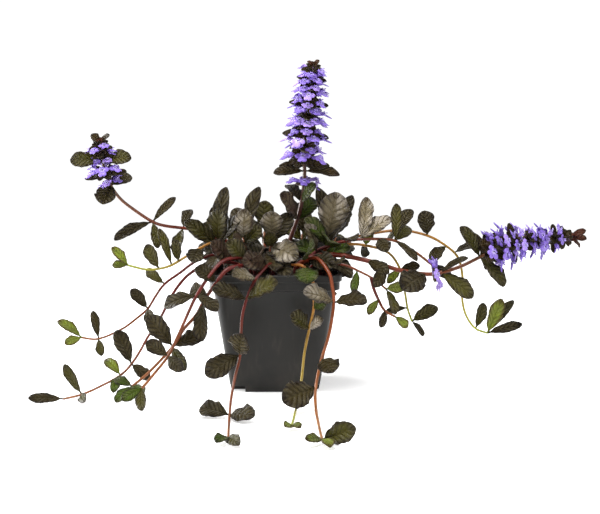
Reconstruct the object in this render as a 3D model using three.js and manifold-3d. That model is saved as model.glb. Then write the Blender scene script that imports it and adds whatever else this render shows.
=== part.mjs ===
// Potted bugleweed: a square nursery pot of potting mix, crown shoots, trailing runners and three flower spikes.
// Millimetres, +Z up. The origin is the middle of the pot's base. The best side of the plant faces -Y.
import * as THREE from 'three';
import { mergeGeometries, mergeVertices } from 'three/addons/utils/BufferGeometryUtils.js';
import Module from 'manifold-3d';

const wasm = await Module();
wasm.setup();

// Pot
const POT_HEIGHT = 81.5;
const LIP_HALF = 45;
const LIP_DEPTH = 5;
const BAND_HALF = 43.6;
const BAND_DEPTH = 11;
const BODY_TOP_HALF = 40.8;
const BODY_FOOT_HALF = 30;
const POT_WALL = 1.2;
const POT_CORNER_RADIUS = 8;
const FOOT_NOTCH = 11;
const FOOT_NOTCH_HEIGHT = 4.5;
const DRAIN_HOLE_RADIUS = 3;

// Potting mix
const MIX_EDGE_HEIGHT = 73;
const MIX_CROWN_HEIGHT = 75.5;
const ROOT_DEPTH = 6;
const ROOT_HOLE_CLEARANCE = 1.1;

// Plant
const RIB_THICKNESS = 1.3;
const SUNK = 0.3;
const STEM_SIDES = 4;
const STEM_STEP = 16;
const CLEARANCE = 0.35;
const FLORETS_PER_WHORL = 5;
const CALYX_RADIUS = 4.4;
const CALYX_FOOT = -4;
const CALYX_TOP = 3;

const COLOURS = {
  pot: 0x333230, mix: 0x33261d, bronze: 0x43343a, silver: 0x6d6a72, lime: 0x9aa638,
  green: 0x5b7a3a, burgundy: 0x6b2a35, ochre: 0x9a6f3a, floret: 0x8a70cc,
};

// Leaves are rows of: place on the route (its point number), tip, width.
// A route starts where the stem leaves the potting mix. Pairs are opposite leaves, each pair a quarter turn on.
const CROWN_SHOOTS = [
  { name: 'crown_shoot_left', colour: 'bronze', thick: [1.5, 1.1],
    route: [[-34, -9, 84], [-37, -11, 93], [-38, -14, 103]],
    leaves: [[2, [-33, -20, 138], 11], [1.8, [-36, -31, 124], 15], [1.4, [-60, -24, 116], 11],
      [0.8, [-40, -44, 87], 14], [1.5, [-22, -22, 119], 11]],
    pairs: { at: [0.5], length: [21], lift: [20], turn: 152 } },
  { name: 'crown_shoot_mid_left', colour: 'silver', thick: [1.5, 1.1],
    route: [[-17, -17, 84], [-20, -17, 95], [-21, -16, 104]],
    leaves: [[2, [-11, -14, 138], 10], [1.9, [-20, -26, 124], 13], [0.9, [-17, -44, 87], 15],
      [1.5, [-9, -23, 112], 12], [1.6, [-27, 1, 122], 12], [1.3, [-27, -33, 106], 10]] },
  { name: 'crown_shoot_middle', colour: 'green', thick: [1.5, 1.1],
    route: [[-3, -15, 84], [-3, -15, 95], [-2, -15, 103]],
    leaves: [[2, [-2, -19, 122], 15], [1.2, [15, -40, 93], 17], [0.7, [0, -44, 85], 15], [1.7, [11, -14, 120], 12],
      [0.4, [10, -45, 81], 13]],
    pairs: { at: [1.3], length: [18], lift: [35], turn: 76 } },
  { name: 'crown_shoot_mid_right', colour: 'silver', thick: [1.5, 1.1],
    route: [[31, -2, 84], [34, -4, 93], [36, -5, 103]],
    leaves: [[2, [42, -11, 134], 21], [1.8, [29, -6, 137], 11], [1.2, [37, -32, 104], 16], [1.9, [53, 0, 131], 10],
      [0.4, [51, -33, 80], 13], [1.5, [21, -20, 117], 12]],
    pairs: { at: [0.5], length: [21], lift: [22], turn: 165 } },
  { name: 'crown_shoot_right_back', colour: 'bronze', thick: [1.5, 1.1],
    route: [[34, 13, 84], [38, 15, 93], [42, 17, 101]],
    leaves: [[2, [48, 18, 124], 14]],
    pairs: { at: [0.5, 1.4], length: [24, 22], lift: [14, 38], turn: 35 } },
  { name: 'crown_shoot_back_right', colour: 'green', thick: [1.5, 1.1],
    route: [[17, 24, 84], [18, 28, 93], [19, 31, 101]],
    leaves: [[2, [18, 33, 124], 14]],
    pairs: { at: [0.5, 1.4], length: [24, 23], lift: [14, 38], turn: 55 } },
  { name: 'crown_shoot_back', colour: 'bronze', thick: [1.5, 1.1],
    route: [[-7, 22, 84], [-8, 26, 94], [-8, 29, 103]],
    leaves: [[2, [-8, 30, 125], 14]],
    pairs: { at: [0.5, 1.4], length: [24, 23], lift: [14, 38], turn: 80 } },
  { name: 'crown_shoot_back_left', colour: 'silver', thick: [1.5, 1.1],
    route: [[-30, 12, 84], [-33, 15, 93], [-36, 17, 101]],
    leaves: [[2, [-42, 18, 123], 14]],
    pairs: { at: [0.5, 1.4], length: [24, 22], lift: [14, 38], turn: 120 } },
];

const RUNNERS = [
  { name: 'runner_left_upper', colour: 'ochre', thick: [1.1, 0.8],
    route: [[-23, -7, 84], [-31, -14, 96], [-41, -24, 101], [-50, -30, 98], [-59, -35, 93], [-68, -40, 88],
      [-76, -43, 86], [-85, -46, 86], [-96, -48, 89]],
    leaves: [[4.5, [-65, -42, 105], 7], [5, [-76, -38, 112], 6], [6, [-84, -42, 102], 9],
      [8, [-106, -50, 101], 7], [8, [-106, -49, 89], 6], [3, [-54, -42, 90], 12]] },
  { name: 'runner_left_looping', colour: 'burgundy', thick: [1.2, 0.8],
    route: [[-21, -11, 84], [-28, -17, 91], [-41, -24, 93], [-53, -29, 89], [-63, -33, 82], [-73, -37, 75],
      [-79, -39, 67], [-84, -41, 59], [-91, -43, 53], [-101, -46, 46], [-116, -48, 40], [-127, -49, 41]],
    leaves: [[7, [-95, -40, 72], 8], [7, [-80, -52, 50], 8], [5, [-86, -30, 84], 7],
      [10, [-120, -44, 58], 6], [10, [-113, -56, 30], 6], [11, [-137, -56, 38], 7], [11, [-143, -46, 52], 8]] },
  { name: 'runner_left_long', colour: 'burgundy', thick: [1.3, 0.8],
    route: [[-23, -20, 84], [-30, -25, 88], [-44, -31, 88], [-56, -36, 82], [-63, -40, 75], [-69, -43, 66],
      [-75, -46, 54], [-83, -49, 42], [-88, -51, 33], [-94, -53, 24], [-101, -55, 17], [-114, -57, 10],
      [-126, -59, 5], [-138, -60, 2.2]],
    leaves: [[1, [-42, -38, 103], 13], [9, [-104, -50, 46], 11], [9, [-82, -60, 15], 9], [10, [-112, -46, 26], 8], [10, [-104, -70, 9], 7],
      [12, [-138, -54, 24], 7], [12, [-122, -72, 3], 7], [13, [-160, -66, 4], 7]] },
  { name: 'runner_left_arching', colour: 'burgundy', thick: [1.7, 0.9],
    route: [[-3, -25, 84], [-11, -33, 89], [-22, -43, 88], [-29, -48, 87], [-34, -51, 83], [-40, -54, 75],
      [-46, -56, 66], [-51, -57, 57], [-59, -58, 48], [-66, -60, 37], [-81, -63, 21], [-92, -66, 12]],
    leaves: [[1, [-8, -50, 97], 14], [4.6, [-51, -57, 88], 12], [5.5, [-55, -49, 73], 11], [6, [-47, -64, 41], 11], [9, [-82, -58, 57], 13],
      [9, [-46, -57, 43], 13], [9, [-57, -72, 24], 9], [11, [-84, -78, 9], 9], [11, [-102, -74, 3], 8],
      [11, [-104, -62, 16], 7]] },
  { name: 'runner_left_hanging', colour: 'burgundy', thick: [1.3, 0.9],
    route: [[-14, -30, 84], [-22, -38, 92], [-33, -48, 92], [-42, -56, 83], [-50, -62, 71], [-54, -64, 63],
      [-58, -66, 54], [-62, -68, 45], [-68, -72, 33], [-77, -77, 22], [-84, -82, 14]],
    leaves: [[0.6, [-31, -41, 104], 12], [4, [-71, -64, 64], 12], [4, [-36, -70, 62], 10], [8, [-58, -84, 26], 9], [8, [-82, -70, 42], 10],
      [10, [-96, -90, 8], 8], [10, [-82, -97, 3], 8]] },
  { name: 'runner_front_left', colour: 'burgundy', thick: [1.3, 0.9],
    route: [[-1, -30, 84], [-2, -36, 88], [-5, -42, 87.5], [-12, -50, 80], [-18, -53, 67], [-21, -56, 54],
      [-22, -62, 32], [-25, -68, 19], [-27, -80, 8], [-27, -105, 2], [-26, -135, 1.6], [-25, -160, 1.6]],
    leaves: [[1, [-21, -47, 91], 15], [4, [-40, -62, 75], 14], [4, [3, -61, 79], 17], [3, [-27, -61, 84], 13],
      [6, [-20, -74, 48], 15], [6, [-44, -70, 20], 15], [9, [-46, -101, 5], 14], [9, [-11, -118, 4], 14],
      [11, [-31, -178, 4], 8], [11, [-18, -180, 3], 8]] },
  { name: 'runner_front_middle', colour: 'burgundy', thick: [1.1, 0.8],
    route: [[6, -30, 84], [13, -37, 88], [20, -43, 87], [25, -50, 80], [26, -52, 71], [26, -53, 61],
      [23, -54, 47], [20, -57, 33], [18, -64, 16], [16, -78, 6], [14, -96, 2], [13, -113, 1.6], [12, -130, 1.6]],
    leaves: [[2, [22, -57, 78], 16], [6, [11, -59, 58], 14], [6, [32, -58, 55], 9], [5, [34, -58, 67], 9],
      [12, [8, -143, 4], 6], [12, [17, -144, 4], 6]] },
  { name: 'runner_front_right', colour: 'burgundy', thick: [1.4, 0.9],
    route: [[15, -26, 84], [22, -33, 91], [29, -40, 92], [36, -50, 84], [38, -55, 76], [39, -60, 66],
      [36, -66, 47], [31, -71, 31], [27, -80, 14], [27, -98, 4.5], [28, -120, 2], [29, -145, 1.6], [30, -165, 1.6]],
    leaves: [[1, [40, -44, 88], 14], [1, [26, -50, 102], 15], [5, [60, -68, 68], 15], [5, [19, -70, 74], 16],
      [7, [38, -82, 24], 15], [8, [6, -93, 8], 18], [12, [49, -174, 11], 13], [12, [34, -184, 3], 8],
      [12, [20, -178, 5], 7]] },
  { name: 'runner_right_low', colour: 'burgundy', thick: [1.1, 0.8],
    route: [[24, -22, 84], [31, -27, 88], [40, -31, 88], [48, -34, 87], [55, -36, 84], [66, -38, 78.5],
      [74, -39, 72]],
    branch: [[64, -38, 79.5], [66, -39, 72], [69, -40, 65], [73, -42, 58], [80, -43, 54]],
    leaves: [[4, [52, -44, 70], 6], [6, [86, -41, 73], 8], [6, [80, -46, 56], 8],
      [2, [43, -46, 90], 12]],
    branchLeaves: [[4, [88, -46, 47], 7], [2, [62, -48, 56], 6], [3, [70, -50, 48], 6]] },
  { name: 'runner_right_hanging', colour: 'ochre', thick: [1.2, 0.8],
    route: [[25, 5, 84], [36, 4, 93], [48, 2, 97], [62, -4, 97], [77, -12, 93], [85, -16, 82], [88, -18, 68],
      [90, -19, 56], [93, -20, 47]],
    leaves: [[8, [110, -24, 57], 10], [7, [75, -17, 52], 7], [8, [100, -28, 38], 6],
      [5, [98, -20, 85], 7], [5, [76, -24, 74], 6], [3, [64, -12, 112], 8],
      [3, [60, 8, 88], 8]] },
  { name: 'runner_right_upper', colour: 'burgundy', thick: [1.4, 0.9],
    route: [[19, -7, 84], [28, -8, 93], [38, -10, 98], [48, -13, 101], [58, -16, 102.5], [70, -19, 103],
      [81, -21, 102], [94, -23, 95], [106, -24, 86]],
    leaves: [[1, [21, -23, 113], 12], [4, [62, -14, 131], 11], [4, [79, -16, 117], 13], [5, [75, -32, 96], 10], [6, [82, -18, 127], 8],
      [6, [95, -33, 90], 7], [8, [118, -28, 78], 8], [8, [112, -18, 97], 8], [6, [92, -10, 110], 8],
      [3, [53, -32, 104], 12]] },
  { name: 'runner_right_far', colour: 'ochre', thick: [1.2, 0.8],
    route: [[27, 15, 84], [36, 12, 93], [47, 8, 99], [65, 4, 104], [86, 0, 107], [104, -6, 104], [117, -9, 97],
      [125, -10, 89], [128, -11, 76], [128, -12, 60], [131, -13, 49], [137, -14, 41], [145, -15, 38]],
    leaves: [[5, [101, -6, 121], 13], [6, [105, -17, 89], 8], [6.6, [138, -13, 99], 8], [11, [143, -10, 58], 8],
      [12, [154, -18, 62], 10], [12, [163, -12, 60], 7], [12, [168, -20, 45], 7],
      [4, [94, 8, 121], 9], [4, [78, 10, 98], 8], [3, [62, 16, 114], 10]] },
  { name: 'runner_back_left', colour: 'burgundy', thick: [1.3, 0.9],
    route: [[-17, 29, 84], [-20, 37, 89], [-23, 45, 89], [-26, 53, 80], [-27, 58, 64], [-26, 61, 46],
      [-25, 66, 26], [-23, 78, 10], [-19, 96, 2.2], [-14, 112, 1.6]],
    leaves: [[9, [-18, 127, 4], 8], [9, [-5, 124, 5], 7]],
    pairs: { at: [3, 5, 7], length: [21, 19, 17], lift: [20, 12, 20], turn: 20 } },
  { name: 'runner_back_middle', colour: 'burgundy', thick: [1.3, 0.9],
    route: [[5, 30, 84], [7, 38, 89], [9, 46, 88], [11, 54, 78], [11, 59, 62], [10, 63, 45], [9, 70, 24],
      [9, 86, 6], [12, 106, 1.9], [17, 124, 1.6]],
    leaves: [[9, [16, 140, 4], 8], [9, [28, 133, 5], 7]],
    pairs: { at: [3, 5, 7], length: [20, 19, 16], lift: [25, 12, 20], turn: 65 } },
  { name: 'runner_back_right', colour: 'ochre', thick: [1.2, 0.8],
    route: [[26, 25, 84], [31, 33, 90], [34, 42, 91], [36, 51, 84], [36, 58, 69], [34, 62, 53], [33, 66, 38]],
    leaves: [[6, [36, 74, 26], 9], [6, [26, 68, 24], 8]],
    pairs: { at: [2.5, 3.8, 5], length: [20, 18, 16], lift: [25, 12, 8], turn: 40 } },
];

// A spike's head runs between two places on its route, with whorls of florets over leafy bracts.
const SPIKES = [
  { name: 'spike_centre', colour: 'green', thick: [1.9, 1.0],
    route: [[6, -1, 84], [10, 0, 100], [15, 0, 114], [18, 0, 126], [20, 0, 142], [20, 0, 162], [22, 0, 183],
      [24, 0, 203], [26, 0, 218]],
    leaves: [[2, [3, -17, 133], 16], [2, [27, 12, 128], 11], [3, [28, -9, 139], 12], [3, [8, 11, 138], 11],
      [4.3, [-1, -4, 147], 8], [4.3, [44, -4, 145], 9], [8, [22, -3, 222], 4], [8, [30, -2, 223], 4],
      [8, [26, 4, 222], 4]],
    head: { from: 4.75, to: 7.7, whorls: 7, bracts: 4, spread: [16, 9.5] }, lowWhorl: { at: 3.85, reach: 12 } },
  { name: 'spike_right', colour: 'burgundy', thick: [2.0, 1.0],
    route: [[15, -14, 84], [29, -14, 91], [44, -19, 92], [62, -24, 89], [74, -28, 86], [85, -31, 83],
      [101, -33, 81], [111, -33, 82], [124, -32, 86], [137, -30, 92], [151, -29, 99], [171, -28, 103],
      [198, -26, 105]],
    leaves: [[6, [84, -48, 73], 18], [7, [132, -38, 66], 12], [7, [128, -38, 93], 6], [3, [76, -36, 82], 9],
      [9, [124, -34, 113], 10], [9, [152, -42, 74], 12], [9, [144, -18, 108], 7], [4, [66, -44, 74], 9],
      [12, [208, -28, 110], 5], [12, [209, -26, 104], 5], [12, [205, -24, 98], 5]],
    head: { from: 9.6, to: 11.7, whorls: 5, bracts: 2, spread: [15, 9] }, lowWhorl: { at: 6.6, reach: 12 } },
  { name: 'spike_left', colour: 'bronze', thick: [1.4, 1.0],
    route: [[-11, 2, 84], [-24, -3, 95], [-41, -8, 104], [-51, -11, 108], [-62, -15, 110], [-74, -19, 112],
      [-82, -22, 115], [-93, -27, 123], [-103, -31, 132], [-110, -34, 144], [-113, -36, 157], [-114, -36, 168]],
    leaves: [[6, [-107, -30, 104], 9], [6, [-67, -16, 131], 6], [6, [-78, -30, 98], 7], [4, [-66, -26, 95], 9],
      [4, [-58, -4, 122], 8], [8.7, [-112, -47, 129], 14], [8.7, [-96, -22, 146], 9], [10, [-134, -38, 157], 11],
      [10, [-94, -38, 159], 11], [11, [-120, -38, 174], 6], [11, [-108, -37, 174], 6]],
    head: { from: 9.6, to: 10.5, whorls: 2, bracts: 0, spread: [13, 10] }, lowWhorl: { at: 8.9, reach: 9 } },
];

// Leaves turn their faces to the light, and a little away from the pot's middle.
const LIGHT = new THREE.Vector3(0, -1.1, 1);
const OUTWARD_LEAN = 0.28;

const MIN_BRACT_WIDTH = 4.5;

// Rows of cells along a blade, by its least width. More rows carry more waves of the edge.
const BLADE_ROWS = [[16, 6], [11, 5], [7, 4], [0, 3]];
const EDGE_WAVE = 0.05;
const EDGE_ROUNDNESS = 0.52;
const LEAF_FULLNESS = 1.6;

// One floret's lip, column by column round its stem: how far out it reaches, and how far up from its whorl,
// in a whorl that reaches 15 out.
const LIP_COLUMNS = [[6, 1], [12.6, 0.8], [15, -3.4], [12.6, 0.8]];

// Seeded draws, so that the plant grows the same way each time.
let seed = 8692;
function draw(low, high) {
  seed = (seed * 16807) % 2147483647;
  return low + ((high - low) * seed) / 2147483647;
}

/** Turns a closed three.js geometry into a solid that can be cut and joined. */
function solid(geometry) {
  geometry.deleteAttribute('normal');
  geometry.deleteAttribute('uv');
  const merged = mergeVertices(geometry, 1e-4);
  const corners = merged.index.array;
  const triangles = [];
  for (let i = 0; i < corners.length; i += 3) {
    const [a, b, c] = [corners[i], corners[i + 1], corners[i + 2]];
    if (a !== b && b !== c && c !== a) triangles.push(a, b, c);
  }
  return new wasm.Manifold(new wasm.Mesh({
    numProp: 3,
    vertProperties: new Float32Array(merged.attributes.position.array),
    triVerts: new Uint32Array(triangles),
  }));
}

function joined(solids) {
  return solids.reduce((whole, piece) => whole.add(piece));
}

/** Keeps the largest body: a cut-off scrap is dropped and a sealed hollow is filled. */
function largestBody(whole) {
  const bodies = whole.decompose();
  return bodies.reduce((best, body) => (body.volume() > best.volume() ? body : best));
}

function boxesMeet(a, b) {
  const [p, q] = [a.boundingBox(), b.boundingBox()];
  return [0, 1, 2].every((i) => p.min[i] < q.max[i] && q.min[i] < p.max[i]);
}

function cutClear(piece, other) {
  return boxesMeet(piece, other) ? piece.subtract(other) : piece;
}

/** A square form with round corners: a lathed profile whose 16 turns are laid out round a square. */
function roundedSquareForm(profile) {
  const turns = 16;
  const form = new THREE.LatheGeometry(profile.map(([half, z]) => new THREE.Vector2(half, z)), turns);
  const position = form.attributes.position;
  for (let turn = 0; turn <= turns; turn += 1) {
    const side = Math.floor((turn % turns) / 4);
    const inArc = ((turn % turns) % 4) * (Math.PI / 6);
    const angle = side * (Math.PI / 2) + inArc;
    for (let k = 0; k < profile.length; k += 1) {
      const [half, z] = profile[k];
      const radius = Math.min(POT_CORNER_RADIUS, half);
      const middle = side * (Math.PI / 2) + Math.PI / 4;
      const x = Math.sign(Math.cos(middle)) * (half - radius) + radius * Math.cos(angle);
      const y = Math.sign(Math.sin(middle)) * (half - radius) + radius * Math.sin(angle);
      position.setXYZ(turn * profile.length + k, x, y, z);
    }
  }
  return form;
}

function box(width, depth, height, x, y, z) {
  return solid(new THREE.BoxGeometry(width, depth, height).translate(x, y, z));
}

function rod(radius, low, high, x, y, sides) {
  const upright = new THREE.CylinderGeometry(radius, radius, high - low, sides).rotateX(Math.PI / 2);
  return solid(upright.translate(x, y, (low + high) / 2));
}

function atCorners(distance, make) {
  return joined([[1, 1], [-1, 1], [-1, -1], [1, -1]].map(([sx, sy]) => make(sx * distance, sy * distance)));
}

/** The raised blocks under the pot's four corners, grown on every side by an amount. */
function footNotches(grow) {
  const size = 2 * FOOT_NOTCH + 2 * grow;
  const centre = BODY_FOOT_HALF + 1;
  return atCorners(centre, (x, y) => box(size, size, 2 * (FOOT_NOTCH_HEIGHT + grow), x, y, 0));
}

/** The pot's outer form, solid, grown on every side by an amount. */
function potOutside(grow) {
  const bandFoot = POT_HEIGHT - BAND_DEPTH;
  const lipFoot = POT_HEIGHT - LIP_DEPTH;
  return solid(roundedSquareForm([
    [0, -grow], [BODY_FOOT_HALF + grow, -grow], [BODY_TOP_HALF + grow, bandFoot - grow],
    [BAND_HALF + grow, bandFoot + 0.6 - grow], [BAND_HALF + grow, lipFoot - grow],
    [LIP_HALF + grow, lipFoot + 0.4 - grow], [LIP_HALF + grow, POT_HEIGHT + grow], [0, POT_HEIGHT + grow],
  ]));
}

/** The room inside the pot, shrunk on every side by an amount. */
function potInside(shrink, top) {
  const slope = (BODY_TOP_HALF - BODY_FOOT_HALF) / (POT_HEIGHT - BAND_DEPTH);
  const floor = POT_WALL + shrink;
  const shoulder = POT_HEIGHT - BAND_DEPTH + POT_WALL + shrink;
  const inset = POT_WALL + shrink;
  return [[0, floor], [BODY_FOOT_HALF + slope * floor - inset, floor],
    [BODY_TOP_HALF - inset, shoulder], [BAND_HALF - inset, shoulder + 0.4], [BAND_HALF - inset, top]];
}

function makePot() {
  const open = POT_HEIGHT + 5;
  const room = solid(roundedSquareForm([...potInside(0, open), [0, open]])).subtract(footNotches(POT_WALL));
  const holes = atCorners(BODY_FOOT_HALF - FOOT_NOTCH / 2 - 0.5,
    (x, y) => rod(DRAIN_HOLE_RADIUS, 0, 2 * FOOT_NOTCH_HEIGHT, x, y, 6));
  return potOutside(0).subtract(footNotches(0)).subtract(room).subtract(holes);
}

/** Potting mix fills the pot to just under its lip, with a plain hole for each root. */
function makeMix(roots) {
  const gap = 0.4;
  const edge = BAND_HALF - POT_WALL - gap;
  const form = roundedSquareForm([...potInside(gap, MIX_EDGE_HEIGHT), [edge - 4, MIX_CROWN_HEIGHT],
    [0, MIX_CROWN_HEIGHT]]);
  let mix = solid(form).subtract(footNotches(POT_WALL + gap));
  for (const [x, y, radius] of roots) {
    const hole = rod(radius + ROOT_HOLE_CLEARANCE, MIX_EDGE_HEIGHT - ROOT_DEPTH - 0.4, POT_HEIGHT, x, y, 4);
    mix = mix.subtract(hole);
  }
  return largestBody(mix);
}

function vector(numbers) {
  return new THREE.Vector3(...numbers);
}

function curveThrough(points) {
  return new THREE.CatmullRomCurve3(points.map(vector), false, 'catmullrom', 0.5);
}

/** A rooted route starts upright below the surface of the potting mix. */
function rootedCurve(route) {
  const [x, y] = route[0];
  return curveThrough([[x, y, MIX_EDGE_HEIGHT - ROOT_DEPTH], [x, y, MIX_CROWN_HEIGHT], ...route]);
}

const ROOT_POINTS = 2;

function stepsAlong(curve) {
  return Math.max(3, Math.round(curve.getLength() / STEM_STEP));
}

/** The place on a stem's straight pieces that is nearest to a place on its curve. */
function placeOn(curve, at, before) {
  const wanted = curve.getPoint((at + before) / (curve.points.length - 1));
  const middles = curve.getSpacedPoints(stepsAlong(curve));
  const nearest = middles.slice(1).map((end, k) => new THREE.Line3(middles[k], end)
    .closestPointToPoint(wanted, true, new THREE.Vector3()));
  return nearest.reduce((best, place) => (place.distanceTo(wanted) < best.distanceTo(wanted) ? place : best));
}

function directionOn(curve, at, before) {
  return curve.getTangent((at + before) / (curve.points.length - 1));
}

/** A stem: a many-sided tube along its curve, thinner towards the tip. */
function stem(curve, [rootRadius, tipRadius], grow = 0) {
  const outline = [];
  for (let k = 0; k < STEM_SIDES; k += 1) {
    const angle = (2 * Math.PI * k) / STEM_SIDES;
    outline.push(new THREE.Vector2(Math.cos(angle), Math.sin(angle)));
  }
  const steps = stepsAlong(curve);
  const tube = new THREE.ExtrudeGeometry(new THREE.Shape(outline),
    { steps, bevelEnabled: false, extrudePath: curve });
  const middles = curve.getSpacedPoints(steps);
  const position = tube.attributes.position;
  const point = new THREE.Vector3();
  for (let i = 0; i < position.count; i += 1) {
    point.fromBufferAttribute(position, i);
    let ring = 0;
    for (let k = 1; k <= steps; k += 1) {
      if (point.distanceTo(middles[k]) < point.distanceTo(middles[ring])) ring = k;
    }
    const radius = rootRadius + ((tipRadius - rootRadius) * ring) / steps + grow;
    point.sub(middles[ring]).multiplyScalar(radius).add(middles[ring]);
    position.setXYZ(i, point.x, point.y, point.z);
  }
  return solid(tube);
}

/** The half width of a blade from its base (0) to its tip (1). A high fullness puts the widest place near the tip. */
function halfWidth(width, along, fullness) {
  return (width / 2) * Math.max(Math.sin(Math.PI * along ** fullness), 0) ** EDGE_ROUNDNESS;
}

/** A leaf's own axes: along it, across it, and out of its upper face. */
function leafAxes(base, tip, roll) {
  const along = tip.clone().sub(base).normalize();
  const up = new THREE.Vector3(base.x, base.y, 0).normalize().multiplyScalar(OUTWARD_LEAN).add(LIGHT);
  const face = up.sub(along.clone().multiplyScalar(up.dot(along))).normalize();
  face.applyAxisAngle(along, roll);
  const across = along.clone().cross(face);
  return { along, across, face };
}

/** Gives a grid its thickness: the same triangles on both faces, with walls round the edge. */
function thickened(sheet, face, thickness) {
  sheet.deleteAttribute('normal');
  sheet.deleteAttribute('uv');
  const grid = mergeVertices(sheet, 1e-4);
  const position = grid.attributes.position;
  const count = position.count;
  const corners = grid.index.array;
  const points = [];
  for (const side of [0.5, -0.5]) {
    for (let i = 0; i < count; i += 1) {
      const shift = face.clone().multiplyScalar(side * thickness);
      points.push(position.getX(i) + shift.x, position.getY(i) + shift.y, position.getZ(i) + shift.z);
    }
  }
  const index = [];
  const edges = new Set();
  for (let i = 0; i < corners.length; i += 3) {
    const [a, b, c] = [corners[i], corners[i + 1], corners[i + 2]];
    if (a === b || b === c || c === a) continue;
    index.push(a, b, c, count + c, count + b, count + a);
    for (const [p, q] of [[a, b], [b, c], [c, a]]) edges.add(`${p} ${q}`);
  }
  for (const edge of edges) {
    const [p, q] = edge.split(' ').map(Number);
    if (!edges.has(`${q} ${p}`)) index.push(count + p, count + q, q, count + p, q, p);
  }
  const shell = new THREE.BufferGeometry();
  shell.setAttribute('position', new THREE.Float32BufferAttribute(points, 3));
  shell.setIndex(index);
  return shell;
}

/** Two like faces, apart at the rib and together at the edge, as a real blade thins from its rib. */
function ribbed(sheet, face, thickness) {
  const faces = [0.5, -0.5].map((side) => {
    const half = sheet.clone();
    const position = half.attributes.position;
    for (let i = 4; i < position.count - 3; i += 3) {
      const shift = face.clone().multiplyScalar(side * thickness);
      position.setXYZ(i, position.getX(i) + shift.x, position.getY(i) + shift.y, position.getZ(i) + shift.z);
    }
    if (side < 0) half.index.array.reverse();
    return half;
  });
  return mergeGeometries(faces);
}

/** A blade's grid, two cells wide from tip to base: folded along its rib, arched, with a waved edge. */
function bladeSheet(leaf, grow) {
  const { along, across, face } = leafAxes(leaf.base, leaf.tip, leaf.roll);
  const length = leaf.base.distanceTo(leaf.tip) + 2 * grow;
  const rows = BLADE_ROWS.find(([width]) => leaf.width >= width)[1];
  const sheet = new THREE.PlaneGeometry(1, 1, 2, rows);
  const position = sheet.attributes.position;
  for (let i = 0; i < position.count; i += 1) {
    const t = position.getY(i) + 0.5;
    const side = Math.sign(position.getX(i));
    const wave = Math.round(t * rows) % 2 === 0 ? 1 : -1;
    const edge = halfWidth(leaf.width * (1 + EDGE_WAVE * wave * side) + 2 * grow, t, leaf.fullness);
    const lift = edge * Math.abs(side) * (leaf.fold + 2.5 * EDGE_WAVE * wave * side);
    const arch = leaf.arch * length * 4 * t * (1 - t);
    const point = leaf.base.clone()
      .addScaledVector(along, t * (length + SUNK) - SUNK - grow)
      .addScaledVector(across, side * edge)
      .addScaledVector(face, lift + arch);
    position.setXYZ(i, point.x, point.y, point.z);
  }
  return { sheet, face };
}

function blade(leaf) {
  const { sheet, face } = bladeSheet(leaf, 0);
  return solid(ribbed(sheet, face, RIB_THICKNESS));
}

/** The room a blade needs, with its clearance on every side. */
function bladeRoom(leaf) {
  const { sheet, face } = bladeSheet(leaf, CLEARANCE);
  return solid(thickened(sheet, face, RIB_THICKNESS + 2 * CLEARANCE));
}

/** The leaves of one shoot: those set by hand on its route, then its pairs. */
function leavesOf(curve, rows, pairs, before) {
  const leaves = rows.map(([at, tip, width], number) => ({
    base: placeOn(curve, at, before), tip: vector(tip), width,
    roll: 0.35 * Math.sin(2.4 * number), fullness: LEAF_FULLNESS, fold: 0.22, arch: 0.07,
  }));
  if (!pairs) return leaves;
  pairs.at.forEach((at, k) => {
    for (const half of [0, 180]) {
      const bearing = THREE.MathUtils.degToRad(pairs.turn + 90 * k + half + draw(-14, 14));
      const lift = THREE.MathUtils.degToRad(pairs.lift[k] + draw(-6, 6));
      const length = pairs.length[k] * draw(0.9, 1.08);
      const base = placeOn(curve, at, before);
      const tip = new THREE.Vector3(Math.cos(lift) * Math.cos(bearing), Math.cos(lift) * Math.sin(bearing),
        Math.sin(lift)).multiplyScalar(length).add(base);
      leaves.push({ base, tip, width: 0.58 * length, roll: draw(-0.3, 0.3), fullness: LEAF_FULLNESS, fold: 0.22, arch: 0.09 });
    }
  });
  return leaves;
}

/** Axes of a whorl: up the stem, and two ways out of it. */
function whorlAxes(curve, at) {
  const upward = directionOn(curve, at, ROOT_POINTS);
  const first = upward.clone().cross(new THREE.Vector3(0, 1, 0)).normalize();
  const second = upward.clone().cross(first);
  return { upward, first, second };
}

function whorlAt(curve, at, reach, number, bracts) {
  return { place: placeOn(curve, at, ROOT_POINTS), ...whorlAxes(curve, at), reach, number, bracts };
}

function whorlsOf(spike, curve) {
  const { from, to, whorls, bracts, spread } = spike.head;
  return Array.from({ length: whorls }, (_, k) => {
    const share = k / (whorls - 1);
    return whorlAt(curve, from + (to - from) * share, spread[0] + (spread[1] - spread[0]) * share ** 1.5, k, bracts);
  });
}

function outOf(whorl, angle, rise) {
  return whorl.first.clone().multiplyScalar(Math.cos(angle) * Math.cos(rise))
    .addScaledVector(whorl.second, Math.sin(angle) * Math.cos(rise))
    .addScaledVector(whorl.upward, Math.sin(rise));
}

/** Two opposite bracts under each of the lower whorls, each pair a quarter turn on. */
function bractsOf(whorls) {
  return whorls.filter(({ number, bracts }) => number < bracts).flatMap((whorl) => [0, Math.PI].map((half) => {
    const out = outOf(whorl, half + (whorl.number * Math.PI) / 2, 0);
    const base = whorl.place.clone().addScaledVector(whorl.upward, -5.3 * (whorl.reach / 15));
    return { base, tip: base.clone().addScaledVector(out, whorl.reach * 1.08),
      width: Math.max(MIN_BRACT_WIDTH, whorl.reach * 0.42), roll: 0, fullness: 1.2, fold: 0.1, arch: 0.02 };
  }));
}

/** One leafy shoot as stems and blades. */
function shootParts(shoot) {
  const stems = shoot.curves.map((curve) => stem(curve, shoot.thick));
  return { stems: joined(stems), blades: joined(shoot.blades.map(blade)) };
}

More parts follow.
